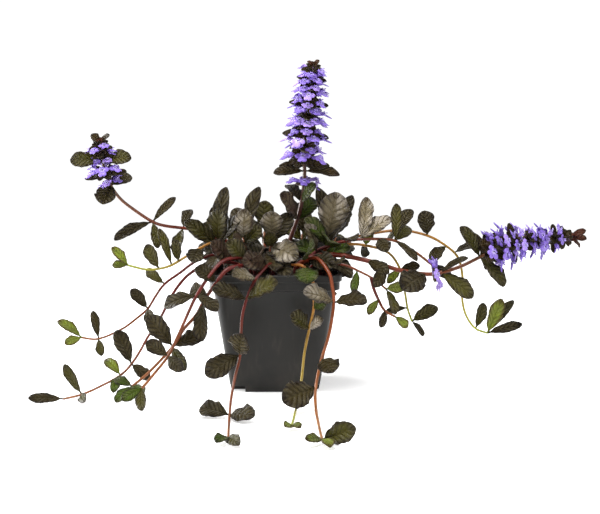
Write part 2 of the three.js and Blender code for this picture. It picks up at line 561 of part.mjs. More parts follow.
/** The room that one leafy shoot needs, as stems and blades. */
function shootRoom(shoot) {
  const stems = shoot.curves.map((curve) => stem(curve, shoot.thick, CLEARANCE));
  return { stems: joined(stems), blades: joined(shoot.blades.map(bladeRoom)) };
}

function prepared(shoot) {
  const curve = rootedCurve(shoot.route);
  const curves = [curve];
  const blades = leavesOf(curve, shoot.leaves, shoot.pairs, ROOT_POINTS);
  if (shoot.branch) {
    const branch = curveThrough(shoot.branch);
    curves.push(branch);
    blades.push(...leavesOf(branch, shoot.branchLeaves, null, 0));
  }
  const whorls = shoot.head ? whorlsOf(shoot, curve) : [];
  blades.push(...bractsOf(whorls));
  return { ...shoot, curves, blades, whorls };
}

/**
 * The florets of a head, raised from the calyces round the stem: each whorl is a ring of open lips,
 * and each lip has two side lobes and a longer middle lobe that hangs.
 */
function floretHead(whorls) {
  const columns = FLORETS_PER_WHORL * LIP_COLUMNS.length;
  const ringOf = (whorl, shape) => Array.from({ length: columns }, (_, column) => {
    const size = whorl.reach / 15;
    const [out, up] = shape(column);
    const turned = column + (whorl.number % 2) * LIP_COLUMNS.length * 0.5;
    return whorl.place.clone()
      .addScaledVector(outOf(whorl, (2 * Math.PI * turned) / columns, 0), out * size)
      .addScaledVector(whorl.upward, up * size);
  });
  const rings = whorls.flatMap((whorl) => [
    ringOf(whorl, () => [CALYX_RADIUS, CALYX_FOOT]),
    ringOf(whorl, (column) => LIP_COLUMNS[column % LIP_COLUMNS.length]),
  ]);
  rings.push(ringOf(whorls.at(-1), () => [CALYX_RADIUS, CALYX_TOP]));
  return closedAround(rings);
}

/** Closes a stack of rings into a solid, with a fan over each end. */
function closedAround(rings) {
  const columns = rings[0].length;
  const points = [];
  const add = (...corners) => corners.forEach(({ x, y, z }) => points.push(x, y, z));
  const middle = (ring) => ring.reduce((sum, point) => sum.add(point), new THREE.Vector3()).divideScalar(columns);
  const [low, high] = [middle(rings[0]), middle(rings.at(-1))];
  for (let k = 0; k < columns; k += 1) {
    const next = (k + 1) % columns;
    add(rings[0][next], rings[0][k], low);
    add(rings.at(-1)[k], rings.at(-1)[next], high);
    for (let r = 0; r + 1 < rings.length; r += 1) {
      const [a, b] = [rings[r], rings[r + 1]];
      add(a[k], a[next], b[next], a[k], b[next], b[k]);
    }
  }
  const shell = new THREE.BufferGeometry();
  shell.setAttribute('position', new THREE.Float32BufferAttribute(points, 3));
  return solid(shell);
}

function toMesh(name, whole, colour, roughness) {
  const { vertProperties, triVerts } = whole.getMesh();
  const geometry = new THREE.BufferGeometry();
  geometry.setAttribute('position', new THREE.Float32BufferAttribute(vertProperties, 3));
  geometry.setIndex(Array.from(triVerts));
  geometry.computeVertexNormals();
  const material = new THREE.MeshStandardMaterial({ color: colour, roughness, metalness: 0 });
  const mesh = new THREE.Mesh(geometry, material);
  mesh.name = name;
  return mesh;
}

const shoots = [...SPIKES, ...RUNNERS, ...CROWN_SHOOTS].map(prepared);
const parts = shoots.map(shootParts);
const rooms = shoots.map(shootRoom);
const mix = makeMix(shoots.map(({ route, thick }) => [route[0][0], route[0][1], thick[0]]));
const mixAndPot = potOutside(CLEARANCE).subtract(
  box(2 * LIP_HALF - 6, 2 * LIP_HALF - 6, 12, 0, 0, MIX_CROWN_HEIGHT + CLEARANCE + 7));

const plant = new THREE.Group();
plant.add(toMesh('pot', makePot(), COLOURS.pot, 0.6));
plant.add(toMesh('potting_mix', mix, COLOURS.mix, 1));

// Blades that would cross another shoot's stem, an earlier shoot's blades or the pot are trimmed clear of it.
parts.forEach((part, i) => {
  let { blades } = part;
  rooms.forEach((other, j) => {
    if (j !== i) blades = cutClear(blades, other.stems);
    if (j < i) blades = cutClear(blades, other.blades);
  });
  part.blades = cutClear(blades, mixAndPot);
});

// Florets are trimmed clear of every stem and blade.
function trimmedFlorets(whorls) {
  const florets = rooms.reduce((left, room) => cutClear(cutClear(left, room.stems), room.blades), floretHead(whorls));
  return largestBody(florets);
}

for (const { name, whorls, lowWhorl, curves, head } of shoots) {
  if (head) {
    const low = whorlAt(curves[0], lowWhorl.at, lowWhorl.reach, 0, 0);
    plant.add(toMesh(`${name}_florets`, trimmedFlorets(whorls), COLOURS.floret, 0.7));
    plant.add(toMesh(`${name}_low_florets`, trimmedFlorets([low]), COLOURS.floret, 0.7));
  }
}

shoots.forEach((shoot, i) => {
  const whole = largestBody(parts[i].stems.add(parts[i].blades));
  const name = shoot.head ? `${shoot.name}_stem` : shoot.name;
  plant.add(toMesh(name, whole, COLOURS[shoot.colour], 0.5));
});

export default plant;
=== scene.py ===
# Potted bugleweed: a square nursery pot of potting mix with a leafy crown, runners and flower spikes.
# Lengths are in millimetres until a piece is finished, which turns them into metres.
from dataclasses import dataclass
from math import cos, exp, pi, radians, sin, tau

import bmesh
import bpy
from mathutils import Matrix, Vector, noise


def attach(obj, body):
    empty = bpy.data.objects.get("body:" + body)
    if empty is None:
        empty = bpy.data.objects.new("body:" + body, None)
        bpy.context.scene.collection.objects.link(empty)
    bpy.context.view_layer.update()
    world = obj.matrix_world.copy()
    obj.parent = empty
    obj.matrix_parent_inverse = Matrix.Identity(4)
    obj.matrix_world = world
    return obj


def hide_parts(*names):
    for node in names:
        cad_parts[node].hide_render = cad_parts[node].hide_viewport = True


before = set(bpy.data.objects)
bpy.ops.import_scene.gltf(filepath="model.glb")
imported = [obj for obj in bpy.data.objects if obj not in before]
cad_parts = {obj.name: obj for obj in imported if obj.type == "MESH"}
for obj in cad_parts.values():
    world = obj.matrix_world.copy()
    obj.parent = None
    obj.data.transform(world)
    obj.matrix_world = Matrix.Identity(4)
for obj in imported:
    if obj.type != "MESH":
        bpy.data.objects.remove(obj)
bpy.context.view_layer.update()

METRES = 0.001

# Pot
POT_HEIGHT = 81.5
LIP_HALF = 45.0
LIP_DEPTH = 5.0
LIP_STEP = 0.4
BAND_HALF = 43.6
BAND_DEPTH = 11.0
BAND_STEP = 0.6
BODY_TOP_HALF = 40.8
BODY_FOOT_HALF = 30.0
FOOT_CHAMFER = 0.6
POT_WALL = 1.2
POT_CORNER_RADIUS = 6.4
POT_CORNER_FACETS = 8
POT_EDGE_RADIUS = 0.45
POT_EDGE_ANGLE = 32
FOOT_NOTCH = 11.0
FOOT_NOTCH_HEIGHT = 4.5
DRAIN_HOLE_RADIUS = 3.0
DRAIN_HOLE_SIDES = 24

# Potting mix
MIX_EDGE_HEIGHT = 73.0
MIX_CROWN_HEIGHT = 75.5
MIX_FOOT_HEIGHT = 7.0
MIX_GAP = 0.4
MIX_CELLS = 56
CORNER_PULL = 0.055
ROOT_DEPTH = 6.0
BARK_CHIPS = 260
BARK_MARGIN = 3.5
BARK_SIZES = [(1.2, 4.2), (0.8, 2.2), (0.5, 1.2)]
BARK_EDGE_ANGLE = 30

# Outline of a leaf
EDGE_WAVE = 0.05
WAVES_BY_WIDTH = [(16, 6), (11, 5), (7, 4), (0, 3)]
EDGE_ROUNDNESS = 0.52
LEAF_FULLNESS = 1.6
BRACT_FULLNESS = 1.2
SMALL_BRACT_FULLNESS = 1.1
STALK_SHARE = 0.2
STALK_HALF = 0.55
BLUNT_TIP = 0.995
SCALLOP_GAP = 4
SCALLOP_DEPTH = 0.04

# Form of a leaf: its stance, cells, veins and skin
LIGHT = Vector((0, -1.1, 1))
OUTWARD_LEAN = 0.28
LEAF_TWIST = 0.35
LEAF_FOLD = 0.22
BLADE_COLUMNS = 12
BLADE_ROWS = 20
BLADE_THICKNESS = 0.55
SIDE_VEINS = 7
VEIN_SLANT = 0.24
PANEL_ROUNDNESS = 0.6
PUCKER_HEIGHT = 0.045
GROOVE_DEPTH = 0.03
GROOVE_SHARE = 0.12
TIP_CURL = (-0.02, 0.05)
CURL_START = 0.65
CURL_SPREAD = 0.12
LEAF_TONES = (0.6, 1.3)
PAIR_WIDTH = 0.58
INNER_LEAVES = 8
INNER_WIDTH = 0.55
INNER_REACH = (13, 20)

# Stems
STEM_SIDES = 8
STEM_SQUARENESS = 0.12
STEM_RING_GAP = 2.5
ROOT_POINTS = 2
CROWN_STEM = {"thick": (1.5, 1.1), "stem": "burgundy"}

# Florets, their calyces and bracts, by the reach of their whorl where they are shares
FLORETS_PER_WHORL = 6
PETAL_THICKNESS = 0.3
LIP_SHARE = 0.36
LIP_EXTRA = 1.2
UPPER_LIP_SHARE = 0.3
FLORET_STARTS = (-2.6, 2.0)
LIP_HANG = (0.7, 1.05)
TUBE_RADII = (0.7, 1.35)
TUBE_SIDES = 7
STAMEN_LENGTH = 3.2
STAMEN_RADII = (0.16, 0.24)
STAMEN_SIDES = 4
STAMEN_SHIFT = 0.5
CALYX_RADII = (0.5, 1.7)
CALYX_SIDES = 10
CALYX_LENGTH = 0.3
CALYX_TOOTH = 0.09
MIN_BRACT_WIDTH = 4.5
BRACT_WIDTH = 0.42
BRACT_LENGTH = 1.08
BRACT_DROP = 5.3 / 15
SMALL_BRACTS = 6
SMALL_BRACT_WIDTH = 0.45
BETWEEN_SIZE = (0.82, 0.28)
TIP_RINGS = 5
TIP_BRACTS = 4
TIP_BUDS = 6
BUD_STRETCH = 1.5

# Outlines of the two lips, as reach by angle from the middle
LOWER_LIP = [(-112, 0.42), (-88, 0.72), (-64, 0.66), (-46, 0.4), (-27, 0.88), (-10, 1.0), (0, 0.84),
             (10, 1.0), (27, 0.88), (46, 0.4), (64, 0.66), (88, 0.72), (112, 0.42)]
UPPER_LIP = [(-70, 0.5), (-30, 1.0), (0, 0.6), (30, 1.0), (70, 0.5)]

# Camera
CAMERA_TARGET = Vector((17, 0, 88.5))
CAMERA_DISTANCE = 977.0
CAMERA_ELEVATION = 7.0
CAMERA_LENS = 85.0

# Studio, in metres and watts: name, place, size and power of each light
SOFTBOXES = [("top_light", (-0.25, -0.2, 1.2), (0.5, 0.5), 22),
             ("key_light", (-0.8, -1.1, 0.9), (0.4, 0.4), 6),
             ("fill_light", (1.1, -0.6, 0.7), (0.5, 0.5), 9),
             ("edge_light", (-0.6, 0.35, 0.12), (0.35, 0.5), 11),
             ("side_light", (-0.65, 0.0, 0.06), (0.7, 0.15), 2.5)]
LIGHTS_AIM = Vector((0, 0, 0.09))
FLOOR_HALF = 0.9
FLOOR_GLOW = 0.45

# Brightness of the studio air behind the plant and along the horizon, and overhead
AIR_BEHIND = 1.05
AIR_OVERHEAD = 0.03

# Heart and rim colours of a leaf, by its look
LEAF_LOOKS = {
    "bronze": ("#2c240a", "#150b04"),
    "olive": ("#3d3a0b", "#1e1605"),
    "silver": ("#75694f", "#2a1c10"),
    "mauve": ("#4a362b", "#241611"),
    "green": ("#40530f", "#222608"),
    "lime": ("#758228", "#402c10"),
    "bract": ("#33260c", "#1a0c06"),
    "bud": ("#5f2e22", "#3c1812"),
    "shade": ("#1f1c0e", "#120c07"),
}

# How strongly each mark shows on a leaf; the marks on raised ridges and humps are painted highlights, and
# the mark in the side veins is painted shade
LEAF_MARKS = {"shadow": 0.8, "ridge_highlight": 0.32, "sheen_highlight": 0.6, "vein_shade": 0.35, "midrib": 0.22}

# Colours of a stem at its root, along its middle and at its tip
STEM_LOOKS = {
    "burgundy": ("#4a0e10", "#5c1c14", "#7c4a22"),
    "ochre": ("#7a3a1c", "#966624", "#8c9430"),
    "russet": ("#5c1812", "#7e3c18", "#8a5c2a"),
    "brick": ("#62180f", "#6c2a12", "#4a3a18"),
    "umber": ("#541c12", "#4c2414", "#3a2a14"),
}

# Throat and lobe colours of a floret
PETAL_LOOKS = [("#cabde6", "#785cbc"), ("#d8cdf0", "#9478cc"), ("#b9a8de", "#6448a6")]

# Colours of single marks and surfaces
# Leaf marks: the darkest tone, a paler tone for the midrib that is also painted as a highlight on ridges,
# and a painted sheen highlight
LEAF_SHADOW, LEAF_PALE_AND_HIGHLIGHT, LEAF_SHEEN_HIGHLIGHT = "#100804", "#a89c74", "#d6ccc0"
STEM_SHADOW = "#2a1210"
PETAL_LINES = "#5a3fae"
CALYX_LOOK = ("#5a4436", "#3a2622")
BUD_LOOK = ("#5b463c", "#6a4f86")
POT_TONES = ("#11100d", "#3b362f")
BARK_TONES = ("#1d130d", "#45301f")
BARK_FIBRE = "#5e4630"
FLOOR_TONES = ("#f6f6f6", "#f8f8f8")

# Shoots of the crown, runners and flower spikes. A leaf is: its place on the route, by point number,
# then tip, width and look, which is bronze where none is given. A route starts where the stem leaves
# the potting mix.
# Pairs are opposite leaves, each pair a quarter turn on, as rows of place, length and lift.
CROWN_SHOOTS = {
    "crown_shoot_left": {
        "route": [(-34, -9, 84), (-37, -11, 93), (-38, -14, 103)],
        "leaves": [
            (2, (-33, -20, 138), 11), (1.8, (-36, -31, 124), 15, "olive"),
            (1.4, (-60, -24, 116), 11, "olive"), (0.8, (-40, -44, 87), 14), (1.5, (-22, -22, 119), 11)],
        "pairs": {"turn": 152, "look": "bronze", "rows": [(0.5, 21, 20)]},
    },
    "crown_shoot_mid_left": {
        "route": [(-17, -17, 84), (-20, -17, 95), (-21, -16, 104)],
        "leaves": [
            (2, (-11, -14, 138), 10), (1.9, (-20, -26, 124), 13, "silver"),
            (0.9, (-17, -44, 87), 15, "mauve"), (1.5, (-9, -23, 112), 12, "olive"),
            (1.6, (-27, 1, 122), 12), (1.3, (-27, -33, 106), 10, "mauve")],
    },
    "crown_shoot_middle": {
        "route": [(-3, -15, 84), (-3, -15, 95), (-2, -15, 103)],
        "leaves": [
            (2, (-2, -19, 122), 15, "silver"), (1.2, (15, -40, 93), 17, "silver"),
            (0.7, (0, -44, 85), 15), (1.7, (11, -14, 120), 12), (0.4, (10, -45, 81), 13)],
        "pairs": {"turn": 76, "look": "olive", "rows": [(1.3, 18, 35)]},
    },
    "crown_shoot_mid_right": {
        "route": [(31, -2, 84), (34, -4, 93), (36, -5, 103)],
        "leaves": [
            (2, (42, -11, 134), 21, "silver"), (1.8, (29, -6, 137), 11),
            (1.2, (37, -32, 104), 16, "green"), (1.9, (53, 0, 131), 10), (0.4, (51, -33, 80), 13),
            (1.5, (21, -20, 117), 12, "green")],
        "pairs": {"turn": 165, "look": "green", "rows": [(0.5, 21, 22)]},
    },
    "crown_shoot_right_back": {
        "route": [(34, 13, 84), (38, 15, 93), (42, 17, 101)],
        "leaves": [(2, (48, 18, 124), 14, "olive")],
        "pairs": {"turn": 35, "look": "bronze", "rows": [(0.5, 24, 14), (1.4, 22, 38)]},
    },
    "crown_shoot_back_right": {
        "route": [(17, 24, 84), (18, 28, 93), (19, 31, 101)],
        "leaves": [(2, (18, 33, 124), 14)],
        "pairs": {"turn": 55, "look": "olive", "rows": [(0.5, 24, 14), (1.4, 23, 38)]},
    },
    "crown_shoot_back": {
        "route": [(-7, 22, 84), (-8, 26, 94), (-8, 29, 103)],
        "leaves": [(2, (-8, 30, 125), 14, "olive")],
        "pairs": {"turn": 80, "look": "bronze", "rows": [(0.5, 24, 14), (1.4, 23, 38)]},
    },
    "crown_shoot_back_left": {
        "route": [(-30, 12, 84), (-33, 15, 93), (-36, 17, 101)],
        "leaves": [(2, (-42, 18, 123), 14)],
        "pairs": {"turn": 120, "look": "olive", "rows": [(0.5, 24, 14), (1.4, 22, 38)]},
    },
}
RUNNERS = {
    "runner_left_upper": {
        "thick": (1.1, 0.8), "stem": "ochre",
        "route": [
            (-23, -7, 84), (-31, -14, 96), (-41, -24, 101), (-50, -30, 98), (-59, -35, 93),
            (-68, -40, 88), (-76, -43, 86), (-85, -46, 86), (-96, -48, 89)],
        "leaves": [
            (4.5, (-65, -42, 105), 7, "olive"), (5, (-76, -38, 112), 6, "olive"),
            (6, (-84, -42, 102), 9, "olive"), (8, (-106, -50, 101), 7, "lime"),
            (8, (-106, -49, 89), 6, "lime"), (3, (-54, -42, 90), 12)],
    },
    "runner_left_looping": {
        "thick": (1.2, 0.8), "stem": "burgundy",
        "route": [
            (-21, -11, 84), (-28, -17, 91), (-41, -24, 93), (-53, -29, 89), (-63, -33, 82),
            (-73, -37, 75), (-79, -39, 67), (-84, -41, 59), (-91, -43, 53), (-101, -46, 46),
            (-116, -48, 40), (-127, -49, 41)],
        "leaves": [
            (7, (-95, -40, 72), 8), (7, (-80, -52, 50), 8), (5, (-86, -30, 84), 7, "olive"),
            (10, (-120, -44, 58), 6), (10, (-113, -56, 30), 6, "olive"),
            (11, (-137, -56, 38), 7, "lime"), (11, (-143, -46, 52), 8, "lime")],
    },
    "runner_left_long": {
        "thick": (1.3, 0.8), "stem": "burgundy",
        "route": [
            (-23, -20, 84), (-30, -25, 88), (-44, -31, 88), (-56, -36, 82), (-63, -40, 75),
            (-69, -43, 66), (-75, -46, 54), (-83, -49, 42), (-88, -51, 33), (-94, -53, 24),
            (-101, -55, 17), (-114, -57, 10), (-126, -59, 5), (-138, -60, 2.2)],
        "leaves": [
            (1, (-42, -38, 103), 13, "mauve"), (9, (-104, -50, 46), 11), (9, (-82, -60, 15), 9),
            (10, (-112, -46, 26), 8, "lime"), (10, (-104, -70, 9), 7, "green"),
            (12, (-138, -54, 24), 7, "olive"), (12, (-122, -72, 3), 7, "olive"),
            (13, (-160, -66, 4), 7)],
    },
    "runner_left_arching": {
        "thick": (1.7, 0.9), "stem": "burgundy",
        "route": [
            (-3, -25, 84), (-11, -33, 89), (-22, -43, 88), (-29, -48, 87), (-34, -51, 83),
            (-40, -54, 75), (-46, -56, 66), (-51, -57, 57), (-59, -58, 48), (-66, -60, 37),
            (-81, -63, 21), (-92, -66, 12)],
        "leaves": [
            (1, (-8, -50, 97), 14, "mauve"), (4.6, (-51, -57, 88), 12), (5.5, (-55, -49, 73), 11),
            (6, (-47, -64, 41), 11), (9, (-82, -58, 57), 13), (9, (-46, -57, 43), 13),
            (9, (-57, -72, 24), 9, "olive"), (11, (-84, -78, 9), 9, "green"),
            (11, (-102, -74, 3), 8, "green"), (11, (-104, -62, 16), 7, "green")],
    },
    "runner_left_hanging": {
        "thick": (1.3, 0.9), "stem": "burgundy",
        "route": [
            (-14, -30, 84), (-22, -38, 92), (-33, -48, 92), (-42, -56, 83), (-50, -62, 71),
            (-54, -64, 63), (-58, -66, 54), (-62, -68, 45), (-68, -72, 33), (-77, -77, 22),
            (-84, -82, 14)],
        "leaves": [
            (0.6, (-31, -41, 104), 12, "olive"), (4, (-71, -64, 64), 12), (4, (-36, -70, 62), 10),
            (8, (-58, -84, 26), 9), (8, (-82, -70, 42), 10), (10, (-96, -90, 8), 8, "green"),
            (10, (-82, -97, 3), 8, "olive")],
    },
    "runner_front_left": {
        "thick": (1.3, 0.9), "stem": "burgundy",
        "route": [
            (-1, -30, 84), (-2, -36, 88), (-5, -42, 87.5), (-12, -50, 80), (-18, -53, 67),
            (-21, -56, 54), (-22, -62, 32), (-25, -68, 19), (-27, -80, 8), (-27, -105, 2),
            (-26, -135, 1.6), (-25, -160, 1.6)],
        "leaves": [
            (1, (-21, -47, 91), 15, "mauve"), (4, (-40, -62, 75), 14), (4, (3, -61, 79), 17, "olive"),
            (3, (-27, -61, 84), 13, "silver"), (6, (-20, -74, 48), 15), (6, (-44, -70, 20), 15),
            (9, (-46, -101, 5), 14), (9, (-11, -118, 4), 14), (11, (-31, -178, 4), 8, "green"),
            (11, (-18, -180, 3), 8, "olive")],
    },
    "runner_front_middle": {
        "thick": (1.1, 0.8), "stem": "ochre",
        "route": [
            (6, -30, 84), (13, -37, 88), (20, -43, 87), (25, -50, 80), (26, -52, 71), (26, -53, 61),
            (23, -54, 47), (20, -57, 33), (18, -64, 16), (16, -78, 6), (14, -96, 2), (13, -113, 1.6),
            (12, -130, 1.6)],
        "leaves": [
            (2, (22, -57, 78), 16, "green"), (6, (11, -59, 58), 14, "olive"),
            (6, (32, -58, 55), 9, "silver"), (5, (34, -58, 67), 9, "green"),
            (12, (8, -143, 4), 6, "lime"), (12, (17, -144, 4), 6, "lime")],
    },
    "runner_front_right": {
        "thick": (1.4, 0.9), "stem": "russet",
        "route": [
            (15, -26, 84), (22, -33, 91), (29, -40, 92), (36, -50, 84), (38, -55, 76), (39, -60, 66),
            (36, -66, 47), (31, -71, 31), (27, -80, 14), (27, -98, 4.5), (28, -120, 2), (29, -145, 1.6),
            (30, -165, 1.6)],
        "leaves": [
            (1, (40, -44, 88), 14), (1, (26, -50, 102), 15, "green"), (5, (60, -68, 68), 15),
            (5, (19, -70, 74), 16, "silver"), (7, (38, -82, 24), 15), (8, (6, -93, 8), 18),
            (12, (49, -174, 11), 13, "olive"), (12, (34, -184, 3), 8, "lime"),
            (12, (20, -178, 5), 7, "lime")],
    },
    "runner_right_low": {
        "thick": (1.1, 0.8), "stem": "burgundy",
        "route": [
            (24, -22, 84), (31, -27, 88), (40, -31, 88), (48, -34, 87), (55, -36, 84), (66, -38, 78.5),
            (74, -39, 72)],
        "branch": [(64, -38, 79.5), (66, -39, 72), (69, -40, 65), (73, -42, 58), (80, -43, 54)],
        "leaves": [
            (4, (52, -44, 70), 6, "green"), (6, (86, -41, 73), 8, "lime"),
            (6, (80, -46, 56), 8, "olive"), (2, (43, -46, 90), 12)],
        "branch_leaves": [
            (4, (88, -46, 47), 7, "lime"), (2, (62, -48, 56), 6, "lime"), (3, (70, -50, 48), 6)],
    },
    "runner_right_hanging": {
        "thick": (1.2, 0.8), "stem": "ochre",
        "route": [
            (25, 5, 84), (36, 4, 93), (48, 2, 97), (62, -4, 97), (77, -12, 93), (85, -16, 82),
            (88, -18, 68), (90, -19, 56), (93, -20, 47)],
        "leaves": [
            (8, (110, -24, 57), 10, "olive"), (7, (75, -17, 52), 7, "olive"), (8, (100, -28, 38), 6),
            (5, (98, -20, 85), 7), (5, (76, -24, 74), 6, "lime"), (3, (64, -12, 112), 8, "lime"),
            (3, (60, 8, 88), 8)],
    },
    "runner_right_upper": {
        "thick": (1.4, 0.9), "stem": "burgundy",
        "route": [
            (19, -7, 84), (28, -8, 93), (38, -10, 98), (48, -13, 101), (58, -16, 102.5), (70, -19, 103),
            (81, -21, 102), (94, -23, 95), (106, -24, 86)],
        "leaves": [
            (1, (21, -23, 113), 12, "silver"), (4, (62, -14, 131), 11, "silver"),
            (4, (79, -16, 117), 13, "silver"), (5, (75, -32, 96), 10), (6, (82, -18, 127), 8, "olive"),
            (6, (95, -33, 90), 7), (8, (118, -28, 78), 8), (8, (112, -18, 97), 8),
            (6, (92, -10, 110), 8, "olive"), (3, (53, -32, 104), 12)],
    },
    "runner_right_far": {
        "thick": (1.2, 0.8), "stem": "ochre",
        "route": [
            (27, 15, 84), (36, 12, 93), (47, 8, 99), (65, 4, 104), (86, 0, 107), (104, -6, 104),
            (117, -9, 97), (125, -10, 89), (128, -11, 76), (128, -12, 60), (131, -13, 49),
            (137, -14, 41), (145, -15, 38)],
        "leaves": [
            (5, (101, -6, 121), 13), (6, (105, -17, 89), 8, "olive"), (6.6, (138, -13, 99), 8),
            (11, (143, -10, 58), 8, "olive"), (12, (154, -18, 62), 10, "lime"),
            (12, (163, -12, 60), 7, "olive"), (12, (168, -20, 45), 7), (4, (94, 8, 121), 9),
            (4, (78, 10, 98), 8, "olive"), (3, (62, 16, 114), 10)],
    },
    "runner_back_left": {
        "thick": (1.3, 0.9), "stem": "burgundy",
        "route": [
            (-17, 29, 84), (-20, 37, 89), (-23, 45, 89), (-26, 53, 80), (-27, 58, 64), (-26, 61, 46),
            (-25, 66, 26), (-23, 78, 10), (-19, 96, 2.2), (-14, 112, 1.6)],
        "leaves": [(9, (-18, 127, 4), 8, "green"), (9, (-5, 124, 5), 7, "green")],
        "pairs": {"turn": 20, "look": "bronze", "rows": [(3, 21, 20), (5, 19, 12), (7, 17, 20)]},
    },
    "runner_back_middle": {
        "thick": (1.3, 0.9), "stem": "burgundy",
        "route": [
            (5, 30, 84), (7, 38, 89), (9, 46, 88), (11, 54, 78), (11, 59, 62), (10, 63, 45),
            (9, 70, 24), (9, 86, 6), (12, 106, 1.9), (17, 124, 1.6)],
        "leaves": [(9, (16, 140, 4), 8, "lime"), (9, (28, 133, 5), 7, "lime")],
        "pairs": {"turn": 65, "look": "bronze", "rows": [(3, 20, 25), (5, 19, 12), (7, 16, 20)]},
    },
    "runner_back_right": {
        "thick": (1.2, 0.8), "stem": "ochre",
        "route": [
            (26, 25, 84), (31, 33, 90), (34, 42, 91), (36, 51, 84), (36, 58, 69), (34, 62, 53),
            (33, 66, 38)],
        "leaves": [(6, (36, 74, 26), 9, "olive"), (6, (26, 68, 24), 8, "olive")],
        "pairs": {"turn": 40, "look": "olive", "rows": [(2.5, 20, 25), (3.8, 18, 12), (5, 16, 8)]},
    },
}
SPIKES = {
    "spike_centre": {
        "thick": (1.9, 1), "stem": "umber",
        "route": [
            (6, -1, 84), (10, 0, 100), (15, 0, 114), (18, 0, 126), (20, 0, 142), (20, 0, 162),
            (22, 0, 183), (24, 0, 203), (26, 0, 218)],
        "leaves": [
            (2, (3, -17, 133), 16, "mauve"), (2, (27, 12, 128), 11, "green"),
            (3, (28, -9, 139), 12, "green"), (3, (8, 11, 138), 11), (4.3, (-1, -4, 147), 8, "bract"),
            (4.3, (44, -4, 145), 9, "bract"), (8, (22, -3, 222), 4, "bud"),
            (8, (30, -2, 223), 4, "bud"), (8, (26, 4, 222), 4, "bud")],
        "head": {"from": 4.75, "to": 7.7, "whorls": 7, "spread": (16, 9.5)},
        "low_whorl": (3.85, 12),
    },
    "spike_right": {
        "thick": (2, 1), "stem": "brick",
        "route": [
            (15, -14, 84), (29, -14, 91), (44, -19, 92), (62, -24, 89), (74, -28, 86), (85, -31, 83),
            (101, -33, 81), (111, -33, 82), (124, -32, 86), (137, -30, 92), (151, -29, 99),
            (171, -28, 103), (198, -26, 105)],
        "leaves": [
            (6, (84, -48, 73), 18), (7, (132, -38, 66), 12, "olive"), (7, (128, -38, 93), 6),
            (3, (76, -36, 82), 9), (9, (124, -34, 113), 10, "olive"), (9, (152, -42, 74), 12, "olive"),
            (9, (144, -18, 108), 7), (4, (66, -44, 74), 9), (12, (208, -28, 110), 5, "bud"),
            (12, (209, -26, 104), 5, "bud"), (12, (205, -24, 98), 5, "bud")],
        "head": {"from": 9.6, "to": 11.7, "whorls": 5, "spread": (15, 9)},
        "low_whorl": (6.6, 12),
    },
    "spike_left": {
        "thick": (1.4, 1), "stem": "brick",
        "route": [
            (-11, 2, 84), (-24, -3, 95), (-41, -8, 104), (-51, -11, 108), (-62, -15, 110),
            (-74, -19, 112), (-82, -22, 115), (-93, -27, 123), (-103, -31, 132), (-110, -34, 144),
            (-113, -36, 157), (-114, -36, 168)],
        "leaves": [
            (6, (-107, -30, 104), 9), (6, (-67, -16, 131), 6), (6, (-78, -30, 98), 7, "olive"),
            (4, (-66, -26, 95), 9, "olive"), (4, (-58, -4, 122), 8), (8.7, (-112, -47, 129), 14),
            (8.7, (-96, -22, 146), 9), (10, (-134, -38, 157), 11, "olive"),
            (10, (-94, -38, 159), 11, "olive"), (11, (-120, -38, 174), 6, "bract"),
            (11, (-108, -37, 174), 6, "bract")],
        "head": {"from": 9.6, "to": 10.5, "whorls": 2, "spread": (13, 10)},
        "low_whorl": (8.9, 9),
    },
}


class Draws:
    """Seeded draws that give the same plant each time."""

    FACTOR = 16807
    RANGE = 2147483647

    def __init__(self, seed):
        self.seed = seed

    def between(self, low, high):
        self.seed = (self.seed * self.FACTOR) % self.RANGE
        return low + (high - low) * self.seed / self.RANGE

    def near(self, spread):
        return self.between(-spread, spread)


growth = Draws(8692)
detail = Draws(4711)


def linear(code):
    """Linear red, green, blue and alpha of a hex colour."""
    channels = [int(code[i:i + 2], 16) / 255 for i in (1, 3, 5)]
    return [c / 12.92 if c <= 0.04045 else ((c + 0.055) / 1.055) ** 2.4 for c in channels] + [1.0]


def tones(codes):
    return [linear(code) for code in codes]


def blended(first, second, share):
    return [a + (b - a) * share for a, b in zip(first, second)]


def shaded(colour, factor):
    return [min(c * factor, 1.0) for c in colour[:3]] + [1.0]


# Node trees


